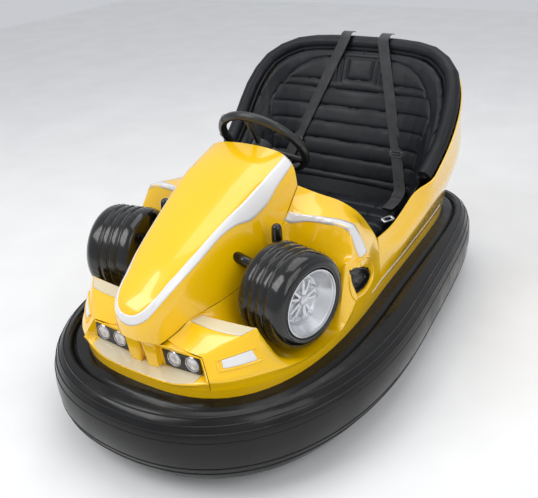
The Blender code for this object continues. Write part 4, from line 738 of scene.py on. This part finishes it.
def build_mock_wheels():
    """Smooth tyres with fine cross marks, and rims with caps and bolts."""
    for name in ("left", "right"):
        place, axis = Vector(WHEEL_PLACE[name]), Vector(WHEEL_TURN[name])
        base = frame_at(place, axis)
        tyre = softened(f"mock_tyre_{name}", full_deg=80.0, soft_deg=40.0, soft=0.35)
        rim = softened(f"mock_rim_{name}", full_deg=70.0, soft_deg=40.0, soft=0.5)
        softened(f"mock_arm_{name}", 1, full_deg=60.0, soft_deg=40.0, soft=0.6)
        tree, rim = tree_of(tyre), tree_of(rim)
        build_tread_marks(name, tree, base, axis)
        for number, radius in enumerate(BEAD_RADII):
            line = landings(tree, circle(base, radius, SIDE_RAY, BEAD_POINTS), -axis)
            bead = f"sidewall_bead_{name}_{number}"
            tube(bead, line, BEAD_RADIUS, "gloss_black", closed=True, sides=6)
        hub = rim.ray_cast(place + axis * HUB_RAY, -axis)[0]
        turned(f"rim_cap_{name}", RIM_CAP, hub, axis, "rim_silver")
        spots = landings(rim, circle(base, RIM_BOLT_RING, HUB_RAY, RIM_BOLTS, 0.5), -axis)
        spots = [spot - axis * HEAD_SUNK for spot in spots]
        bolts(f"rim_bolts_{name}", spots, axis, 0.0042, 0.005, "rim_silver")


# Seat
# Quilt lines on the seat back, left half, in metres: pairs of across and height along each line
QUILT_LINES = (
    (0.0, 0.771, 0.20, 0.774, 0.335, 0.783),
    (0.0, 0.705, 0.21, 0.711, 0.352, 0.722),
    (0.0, 0.643, 0.21, 0.649, 0.345, 0.660),
    (0.0, 0.579, 0.20, 0.584, 0.335, 0.594),
    (0.0, 0.518, 0.20, 0.523, 0.328, 0.532),
    (0.0, 0.456, 0.19, 0.460, 0.310, 0.467),
    (0.156, 0.806, 0.300, 0.808),
    (0.0, 0.892, 0.10, 0.892, 0.158, 0.889, 0.216, 0.877, 0.273, 0.848, 0.310, 0.812, 0.325, 0.785),
    (0.055, 0.889, 0.053, 0.811),
    (0.0, 0.811, 0.053, 0.811),
    (0.082, 0.885, 0.080, 0.803),
    (0.106, 0.884, 0.102, 0.800),
    (0.335, 0.783, 0.355, 0.750, 0.362, 0.715, 0.357, 0.675, 0.345, 0.635, 0.333, 0.594, 0.328, 0.532),
)
QUILT_REACH = 0.04
# Seat rim heights: turn about the seat's axis in degrees, height in metres
RIM_HEIGHTS = (
    (0.0, 0.947), (15.5, 0.947), (23.4, 0.945), (31.0, 0.937), (37.7, 0.915), (43.7, 0.883),
    (48.7, 0.839), (53.0, 0.788), (58.0, 0.732), (63.0, 0.677), (76.0, 0.592), (88.0, 0.530),
)
# Thickness of the seat back's padding: height in metres, thickness in metres
PAD_DEPTHS = ((0.43, 0.003), (0.47, 0.005), (0.55, 0.014), (0.65, 0.019), (0.85, 0.020), (0.96, 0.014))
PAD_AXIS_Y = 0.15
PAD_TURN_DEG = 72.0
PAD_LOW = 0.434
PAD_BELOW_RIM = 0.020
PAD_COLUMNS, PAD_ROWS = 290, 124
SEAM_DEPTH, SEAM_WIDTH = 0.0042, 0.0034
PILLOW_DEPTH, PILLOW_WIDTH = 0.0022, 0.012
PAD_EDGE = 0.030
# The step that the pad's top is lowered by, the least pad and the ends' arc, in metres
PAD_STEP, PAD_LEAST, PAD_ARC = 0.002, 0.01, 0.40
PAD_FRONT_GAP, PAD_BACK_GAP = 0.0012, 0.0006
# Stuffed pads: grain of the remesh, relaxing, frames of cloth and pressure
PAD_VOXEL, RELAX_SHARE, RELAX_STEPS = 0.006, 0.5, 4
CLOTH_FRAMES, CLOTH_QUALITY, CLOTH_PRESSURE = 20, 4, 4.0
ROLL_SWELL, CUSHION_SWELL = 0.005, 0.008
# The roll's middle line from its left end to the middle of the back, in millimetres
RIM_POINTS = (
    (412, 165, 530), (426, 258, 592), (438, 372, 677), (440, 424, 732), (435, 473, 788),
    (422, 521, 839), (395, 564, 883), (351, 605, 915), (293, 638, 937), (221, 660, 945),
    (145, 673, 947), (0, 680, 947),
)
RIM_COUNT, RIM_ENDS = 230, 6
# Beads on the roll: towards the seat's middle or away from it, lean, radius in metres
ROLL_BEADS = ((1, -1.1, 0.0085), (-1, 0.15, 0.0016))
ROLL_RAY = 0.12
SEAT_MIDDLE = (0.0, 0.30)
# Sewn channels of the cushion in metres: out from the middle, and back from the front edge
CHANNELS_OUT, CHANNELS_BACK = (0.0, 0.22), (0.07, 0.14, 0.21, 0.28)
CHANNEL_DEPTH, CHANNEL_WIDTH, CHANNEL_UPPER = 0.005, 0.006, 0.35
# Piping of the cushion
PIPING_INSET, PIPING_POWER, PIPING_POINTS, PIPING_RADIUS = 0.018, 0.32, 120, 0.0032
# A belt's middle line from behind the seat to the cushion, left side, in millimetres
BELT_PATH = (
    (85, 700, 985), (85, 682, 990.5), (85, 664, 987.5), (85, 648, 978), (85, 640, 966),
    (116, 603, 881), (147, 567, 795), (178, 530, 710), (209, 494, 625), (240, 458, 540),
    (262, 430, 474), (270, 419, 452), (270, 401, 437), (270, 378, 428), (270, 350, 422.5),
    (270, 300, 422),
)
BELT_HALF, BELT_DEPTH = 0.0225, 0.0026
BELT_COUNT = 150
# Upper half of the webbing's section, as shares of its half width and half thickness
BELT_OUTLINE = (
    (-1.0, 0.35), (-0.94, 1.0), (-0.80, 1.0), (-0.77, 0.75),
    (0.77, 0.75), (0.80, 1.0), (0.94, 1.0), (1.0, 0.35),
)
SLAB_STEPS, SLAB_POWER = 40, 0.4
# Plates in metres: half width, half height, thickness
ADJUSTER_SIZE, BAR_SIZE = (0.030, 0.013, 0.005), (0.028, 0.0028, 0.005)
BUCKLE_SIZE, BUCKLE_PLACE = (0.027, 0.014, 0.004), (0.314, 0.214, 0.424)
BUCKLE_RIGHT, BUCKLE_UP = (0.45, 0.89, 0.0), (-0.86, 0.44, 0.25)
# Heights of the adjuster, then over the webbing
ADJUSTER_HEIGHT = 0.575
ADJUSTER_OUT, BAR_OUT, TAIL_OUT, STITCH_OUT = 0.004, 0.001, 0.0032, 0.0016
TAIL_COUNT, TAIL_WIDE = 33, 1.06
STITCHES, STITCH_WIDE, STITCH_RADIUS = 9, 0.8, 0.0007


def between(table, at):
    """The second column of the table where its first column is at."""
    for (a, x), (b, y) in zip(table, table[1:]):
        if at <= b:
            return x + (y - x) * max(at - a, 0.0) / (b - a)
    return table[-1][1]


def gap_to(lines, across, height):
    """The distance to the nearest quilt line in the seat back's front view."""
    best = 1.0
    for ax, az, bx, bz, low, high in lines:
        if height < low or height > high:
            continue
        dx, dz = bx - ax, bz - az
        share = ((across - ax) * dx + (height - az) * dz) / (dx * dx + dz * dz)
        share = min(max(share, 0.0), 1.0)
        best = min(best, math.hypot(across - ax - dx * share, height - az - dz * share))
    return best


def quilt_segments():
    """The quilt lines' straight parts, each with the heights that it can matter at."""
    segments = []
    for row in QUILT_LINES:
        points = list(zip(row[::2], row[1::2]))
        for (ax, az), (bx, bz) in zip(points, points[1:]):
            low, high = min(az, bz) - QUILT_REACH, max(az, bz) + QUILT_REACH
            segments.append((ax, az, bx, bz, low, high))
    return segments


def build_back_pad():
    """The quilted padding of the seat back, raised from the shell."""
    shell = tree_of(NODES["seat_shell"])
    lines = quilt_segments()
    mesh = bmesh.new()
    fronts, backs = [], []
    for column in range(PAD_COLUMNS + 1):
        turn = (2 * column / PAD_COLUMNS - 1) * PAD_TURN_DEG
        way = Vector((math.sin(math.radians(turn)), math.cos(math.radians(turn)), 0.0))
        top = between(RIM_HEIGHTS, abs(turn)) - PAD_BELOW_RIM
        while (top > PAD_LOW + PAD_LEAST
               and shell.ray_cast(Vector((0.0, PAD_AXIS_Y, top)), way)[0] is None):
            top -= PAD_STEP
        front, back = [], []
        for row in range(PAD_ROWS + 1):
            share = row / PAD_ROWS
            height = PAD_LOW + (top - PAD_LOW) * share
            hit, normal, _, _ = shell.ray_cast(Vector((0.0, PAD_AXIS_Y, height)), way)
            normal = normal if normal.dot(way) < 0 else -normal
            inside = min((1 - share) * (top - PAD_LOW), share * (top - PAD_LOW),
                         math.radians(PAD_TURN_DEG - abs(turn)) * PAD_ARC)
            edge = min(inside / PAD_EDGE, 1.0)
            swell = math.sqrt(max(1 - (1 - edge) ** 2, 0.0))
            gap = gap_to(lines, abs(hit.x), height)
            depth = between(PAD_DEPTHS, height) * swell
            depth += PILLOW_DEPTH * swell * (1 - math.exp(-((gap / PILLOW_WIDTH) ** 2)))
            depth -= SEAM_DEPTH * swell * math.exp(-((gap / SEAM_WIDTH) ** 2))
            front.append(mesh.verts.new(hit + normal * (PAD_FRONT_GAP + max(depth, 0.0))))
            back.append(mesh.verts.new(hit + normal * PAD_BACK_GAP))
        fronts.append(front)
        backs.append(back)
    for rows in (fronts, backs):
        for a, b in zip(rows, rows[1:]):
            for i in range(PAD_ROWS):
                mesh.faces.new((a[i], a[i + 1], b[i + 1], b[i]))
    for k in range(PAD_COLUMNS):
        for i in (0, PAD_ROWS):
            mesh.faces.new((fronts[k][i], fronts[k + 1][i], backs[k + 1][i], backs[k][i]))
    for i in range(PAD_ROWS):
        for k in (0, PAD_COLUMNS):
            mesh.faces.new((fronts[k][i], fronts[k][i + 1], backs[k][i + 1], backs[k][i]))
    pad = new_piece("seat_back_pad", mesh, "seat_vinyl", smooth_deg=70.0)


def pushed(obj, distance):
    """Moves each point of the piece out along its normal."""
    for vertex, normal in [(v, v.normal.copy()) for v in obj.data.vertices]:
        vertex.co += normal * distance


def stuffed(node, name, swell):
    """A soft piece for the node: a smaller copy, remeshed and blown up as cloth."""
    mesh = copied(node)
    obj = new_piece(name, mesh, SLOT_OF[node], BODY_OF[node], replaced=(node,), smooth_deg=180.0)
    modified(obj, "remesh", "REMESH", mode="VOXEL", voxel_size=PAD_VOXEL)
    modified(obj, "even", "SMOOTH", factor=RELAX_SHARE, iterations=RELAX_STEPS)
    pushed(obj, -swell)
    blown(obj, swell)
    obj.data.shade_smooth()
    return subdivided(obj, 1)


def blown(obj, cap):
    """Some frames of cloth under pressure, each point held to the cap."""
    start = [v.co.copy() for v in obj.data.vertices]
    cloth = obj.modifiers.new("cloth", "CLOTH")
    cloth.settings.quality = CLOTH_QUALITY
    cloth.settings.use_pressure = True
    cloth.settings.uniform_pressure_force = CLOTH_PRESSURE
    cloth.settings.effector_weights.gravity = 0.0
    cloth.collision_settings.use_collision = False
    cloth.point_cache.frame_start = 1
    cloth.point_cache.frame_end = CLOTH_FRAMES
    scene = bpy.context.scene
    for number in range(1, CLOTH_FRAMES + 1):
        scene.frame_set(number)
    graph = bpy.context.evaluated_depsgraph_get()
    swollen = obj.evaluated_get(graph)
    places = [v.co.copy() for v in swollen.data.vertices]
    obj.modifiers.clear()
    for vertex, a, b in zip(obj.data.vertices, start, places):
        step = b - a
        if step.length > cap:
            step *= cap / step.length
        vertex.co = a + step
    scene.frame_set(1)


def grooved(obj, front):
    """Presses sewn channels into the cushion's upper side, measured back from its front."""
    for vertex in [v for v in obj.data.vertices if v.normal.z > CHANNEL_UPPER]:
        gaps = [abs(abs(vertex.co.x) - at) for at in CHANNELS_OUT]
        gaps += [abs(vertex.co.y - front - at) for at in CHANNELS_BACK]
        vertex.co.z -= CHANNEL_DEPTH * math.exp(-((min(gaps) / CHANNEL_WIDTH) ** 2))
    obj.data.update()


def build_roll_beads(roll):
    """A bead in the roll's inner crease and a thin one round its outside."""
    tree = tree_of(roll)
    rim = curve_through(both(vectors(RIM_POINTS)), RIM_COUNT)[RIM_ENDS:-RIM_ENDS]
    for number, (facing, lean, radius) in enumerate(ROLL_BEADS):
        line = []
        for point in rim:
            inward = Vector((SEAT_MIDDLE[0] - point.x, SEAT_MIDDLE[1] - point.y, 0.0)).normalized()
            way = (inward * facing + Vector((0.0, 0.0, lean))).normalized()
            line += landings(tree, [point + way * ROLL_RAY], -way)
        tube(f"roll_seam_{number}", line, radius, "seat_vinyl")


def build_seat():
    """Padded roll, cushion, quilted back, belts and buckle."""
    softened("seat_shell", 1)
    build_back_pad()
    build_roll_beads(stuffed("seat_roll", "seat_roll_pad", ROLL_SWELL))
    cushion = stuffed("seat_cushion", "seat_cushion_pad", CUSHION_SWELL)
    low, high = (Vector(corner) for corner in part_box("seat_cushion"))
    grooved(cushion, low.y)
    starts = []
    for a, b in rounded(PIPING_POINTS, PIPING_POWER):
        x = (high.x - PIPING_INSET) * a
        y = (low.y + high.y) / 2 + ((high.y - low.y) / 2 - PIPING_INSET) * b
        starts.append(Vector((x, y, high.z + SIDE_RAY)))
    edge = landings(tree_of(cushion), starts, -UP)
    tube("cushion_piping", edge, PIPING_RADIUS, "seat_vinyl", closed=True)
    build_harness()


def ribbon(name, path, half, replaced=()):
    """Flat webbing along a path, its width across the car, with rolled edges."""
    mesh = bmesh.new()
    rings = []
    count = len(path)
    outline = BELT_OUTLINE + tuple((a, -b) for a, b in reversed(BELT_OUTLINE))
    across = Vector((1.0, 0.0, 0.0))
    for i, point in enumerate(path):
        along = path[min(i + 1, count - 1)] - path[max(i - 1, 0)]
        facing = Vector((0.0, -along.z, along.y)).normalized()
        rings.append([
            mesh.verts.new(point + across * a * half + facing * b * BELT_DEPTH / 2)
            for a, b in outline
        ])
    lofted(mesh, rings)
    new_piece(name, mesh, "belt_webbing", replaced=replaced, smooth_deg=50.0)


def slab(name, centre, right, up, size, slot, hole=0.0):
    """A rounded plate, framed when it has a hole."""
    half_wide, half_high, thick = size
    out = right.cross(up).normalized()
    mesh = bmesh.new()
    shapes = [(1.0, -0.5), (1.0, 0.25), (0.94, 0.5)]
    if hole:
        shapes += [(hole + 0.05, 0.5), (hole, 0.25), (hole, -0.5)]
    rings = []
    for scale, level in shapes:
        ring = []
        for a, b in rounded(SLAB_STEPS, SLAB_POWER):
            place = centre + right * (a * half_wide * scale) + up * (b * half_high * scale)
            ring.append(mesh.verts.new(place + out * level * thick))
        rings.append(ring)
    if hole:
        lofted(mesh, rings + rings[:1], capped=False)
    else:
        lofted(mesh, rings)
    new_piece(name, mesh, slot, smooth_deg=40.0)


def build_harness():
    """Belts with stitched ends, adjusters and a buckle."""
    right = Vector((1.0, 0.0, 0.0))
    for side, name in SIDES:
        path = curve_through(sided(vectors(BELT_PATH), side), BELT_COUNT)
        ribbon(f"belt_webbing_{name}", path, BELT_HALF, (f"belt_{name}",))
        start = min(
            range(len(path)), key=lambda i: abs(path[i].z - ADJUSTER_HEIGHT) + (path[i].y > 0.6)
        )
        down = (path[start + 3] - path[start]).normalized()
        up = (-down - right * -down.dot(right)).normalized()
        out = right.cross(up).normalized()
        out = out if out.y < 0 else -out
        facing = right * (1 if right.cross(up).dot(out) > 0 else -1)
        centre = path[start] + out * ADJUSTER_OUT
        slab(f"belt_adjuster_{name}", centre, facing, up, ADJUSTER_SIZE, "black_plastic", hole=0.62)
        slab(f"belt_bar_{name}", centre + out * BAR_OUT, facing, up, BAR_SIZE, "black_plastic")
        lower = [p + out * TAIL_OUT for p in path[start + 1:start + 1 + TAIL_COUNT]]
        ribbon(f"belt_tail_{name}", lower, BELT_HALF * TAIL_WIDE)
        stitches = []
        for k in range(STITCHES):
            across = right * (2 * k / (STITCHES - 1) - 1) * BELT_HALF * STITCH_WIDE
            stitches.append(lower[-3] + across + out * STITCH_OUT)
        tube(f"belt_stitch_{name}", stitches, STITCH_RADIUS, "belt_webbing", sides=6)
    place, right, up = (Vector(v) for v in (BUCKLE_PLACE, BUCKLE_RIGHT, BUCKLE_UP))
    slab("buckle_plate", place, right, up, BUCKLE_SIZE, "rim_silver", hole=0.55)


# Controls
WHEEL_CENTRE, WHEEL_AXIS = (0.0, -0.107, 0.775), (0.0, 0.788011, 0.615661)
WHEEL_RADIUS, GRIP_RADIUS = 0.152, 0.015
# Seams on the grip at turns in degrees: count of points, height over the grip, radius
SEAM_TURNS_DEG = (50, 130, 250, 290, 170, 10)
SEAM_POINTS, SEAM_OUT, SEAM_RADIUS = 28, 0.0003, 0.0009
# The hub's cap: radius, height in metres
HUB_CAP = (
    (0.0, -0.003), (0.024, -0.003), (0.024, 0.003), (0.022, 0.006), (0.012, 0.0085), (0.0, 0.009),
)
HUB_SCREW_RING, HUB_SCREWS = 0.040, 3
# Ribs on the pedal: first and step as shares of its height, then of its width
PEDAL_RIBS, PEDAL_UP, PEDAL_ACROSS = 5, (0.2, 0.15), (0.12, 0.19)


def build_controls():
    """The steering wheel's smooth grip, seams and hub cap, and the pedal's ribs."""
    tree = tree_of(softened("steering_wheel", full_deg=70.0, soft_deg=40.0, soft=0.4))
    centre, axis = Vector(WHEEL_CENTRE), Vector(WHEEL_AXIS).normalized()
    base = frame_at(centre, WHEEL_AXIS)
    for number, degrees in enumerate(SEAM_TURNS_DEG):
        turn = math.radians(degrees)
        way = base.to_3x3() @ Vector((math.cos(turn), math.sin(turn), 0.0))
        middle = centre + way * WHEEL_RADIUS
        reach = GRIP_RADIUS + SEAM_OUT
        line = [middle + (way * c + axis * s) * reach for c, s in turns(SEAM_POINTS)]
        name = f"grip_seam_{number}"
        tube(name, line, SEAM_RADIUS, "wheel_grip", "steering", closed=True, sides=6)
    hub = tree.ray_cast(centre + axis * HUB_RAY, -axis)[0]
    turned("hub_cap", HUB_CAP, hub, axis, "wheel_grip", "steering")
    spots = landings(tree, circle(base, HUB_SCREW_RING, HUB_RAY, HUB_SCREWS, 0.75), -axis)
    spots = [spot - axis * HEAD_SUNK for spot in spots]
    bolts("hub_screws", spots, axis, 0.0038, 0.004, "motor_grey", "steering")
    softened("steering_column", 1)
    softened("column_bearing", 1)
    low, high = (Vector(corner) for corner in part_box("accelerator_pedal"))
    pedal = tree_of(NODES["accelerator_pedal"])
    for k in range(PEDAL_RIBS):
        height = low.z + (high.z - low.z) * (PEDAL_UP[0] + PEDAL_UP[1] * k)
        starts = []
        for step in range(PEDAL_RIBS):
            x = low.x + (high.x - low.x) * (PEDAL_ACROSS[0] + PEDAL_ACROSS[1] * step)
            starts.append(Vector((x, high.y + HUB_RAY, height)))
        tube(f"pedal_rib_{k}", landings(pedal, starts, AHEAD), 0.0018, "gloss_black", sides=6)


# Running gear
RING_BOLTS, RING_BOLT_SHARE = 12, 0.86
# Lamps: shares of the lens radius, heights in metres
LAMP_GLASS = (
    (0.0, -0.002), (0.98, -0.002), (0.98, 0.0012), (0.8, 0.0034), (0.45, 0.0048), (0.0, 0.0053),
)
LAMP_RIM = ((0.93, -0.001), (1.12, -0.001), (1.14, 0.002), (1.06, 0.0045), (0.97, 0.003))
LAMP_FACING = -0.3


def build_running_gear():
    """Smooth wheels and frame rounds, lamps with bright rings, and the drive's bolts."""
    for name in ("drive_tyre", "rear_wheel_left", "rear_wheel_right", "turntable_ring"):
        softened(name, 1, full_deg=50.0, soft_deg=34.0, soft=0.6)
    low, high = (Vector(corner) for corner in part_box("turntable_ring"))
    centre = (low + high) / 2
    starts = []
    for c, s in turns(RING_BOLTS):
        x = centre.x + (high.x - centre.x) * RING_BOLT_SHARE * c
        y = centre.y + (high.y - centre.y) * RING_BOLT_SHARE * s
        starts.append(Vector((x, y, low.z - SIDE_RAY)))
    spots = landings(tree_of(NODES["turntable_ring"]), starts, UP)
    spots = [spot for spot in spots if spot.z < low.z + 0.02]
    body = BODY_OF["turntable_ring"]
    bolts("turntable_bolts", spots, (0, 0, -1), 0.005, 0.005, "motor_grey", body)
    for side in ("left", "right"):
        softened(f"headlamp_bezel_{side}", 1, full_deg=40.0, soft_deg=30.0, soft=0.9)
        for place in ("inner", "outer"):
            node = NODES[f"lamp_lens_{side}_{place}"]
            faces = [face for face in node.data.polygons if face.normal.y < LAMP_FACING]
            normal = sum((face.normal * face.area for face in faces), Vector()).normalized()
            area = sum(face.area for face in faces)
            middle = sum((face.center * face.area for face in faces), Vector()) / area
            radius = math.sqrt(area / math.pi)
            for kind, slot, shares in (
                ("glass", "lamp_lens", LAMP_GLASS), ("rim", "rim_silver", LAMP_RIM)
            ):
                profile = [(share * radius, height) for share, height in shares]
                turned(f"lamp_{kind}_{side}_{place}", profile, middle, normal, slot)


# Studio
SENSOR_WIDTH = 36.0
SKY_COLOUR, SKY_STRENGTH = (0.93, 0.95, 1.0, 1.0), 0.62
# Square lights: name, place, target, size in metres, power in watts
LIGHTS = (
    ("key", (-1.6, -2.6, 3.4), (0.0, -0.2, 0.4), 2.2, 62.0),
    ("fill", (3.2, -1.2, 2.6), (0.0, 0.0, 0.4), 2.6, 36.0),
    ("top", (0.0, 0.6, 3.8), (0.0, 0.0, 0.4), 3.0, 46.0),
)


def place_camera():
    """The photograph's camera."""
    data = bpy.data.cameras.new("camera")
    data.lens = CAMERA_LENS
    data.sensor_width = SENSOR_WIDTH
    camera = placed("camera", data)
    rows = zip(CAMERA_RIGHT, CAMERA_UP, CAMERA_BACK, CAMERA_PLACE)
    camera.matrix_world = Matrix((*rows, (0.0, 0.0, 0.0, 1.0)))
    bpy.context.scene.camera = camera


def build_studio():
    """A pale floor, a pale sky and soft lights."""
    world = bpy.data.worlds.new("studio")
    world.use_nodes = True
    sky = world.node_tree.nodes["Background"]
    sky.inputs["Color"].default_value = SKY_COLOUR
    sky.inputs["Strength"].default_value = SKY_STRENGTH
    bpy.context.scene.world = world
    bpy.context.scene.view_settings.view_transform = "Standard"
    for name, place, target, size, power in LIGHTS:
        data = bpy.data.lights.new(name, "AREA")
        data.shape = "RECTANGLE"
        data.size, data.size_y = size, size
        data.energy = power
        light = placed(name, data)
        light.location = place
        aim = Vector(target) - Vector(place)
        light.rotation_euler = aim.to_track_quat("-Z", "Y").to_euler()
    mesh = bmesh.new()
    bmesh.ops.create_grid(mesh, x_segments=1, y_segments=1, size=FLOOR_SIZE / 2)
    data = bpy.data.meshes.new("floor")
    mesh.to_mesh(data)
    mesh.free()
    floor = placed("floor", data)
    tint = (3.0, (0.88, 0.88, 0.87), (0.92, 0.92, 0.91), 4.0)
    data.materials.append(surface("floor_finish", (0.90, 0.90, 0.89), 0.6, tint))


dress_nodes()
skins = build_skins()
build_paintwork(skins)
build_ring()
build_mock_wheels()
build_seat()
build_controls()
build_running_gear()
place_camera()
build_studio()
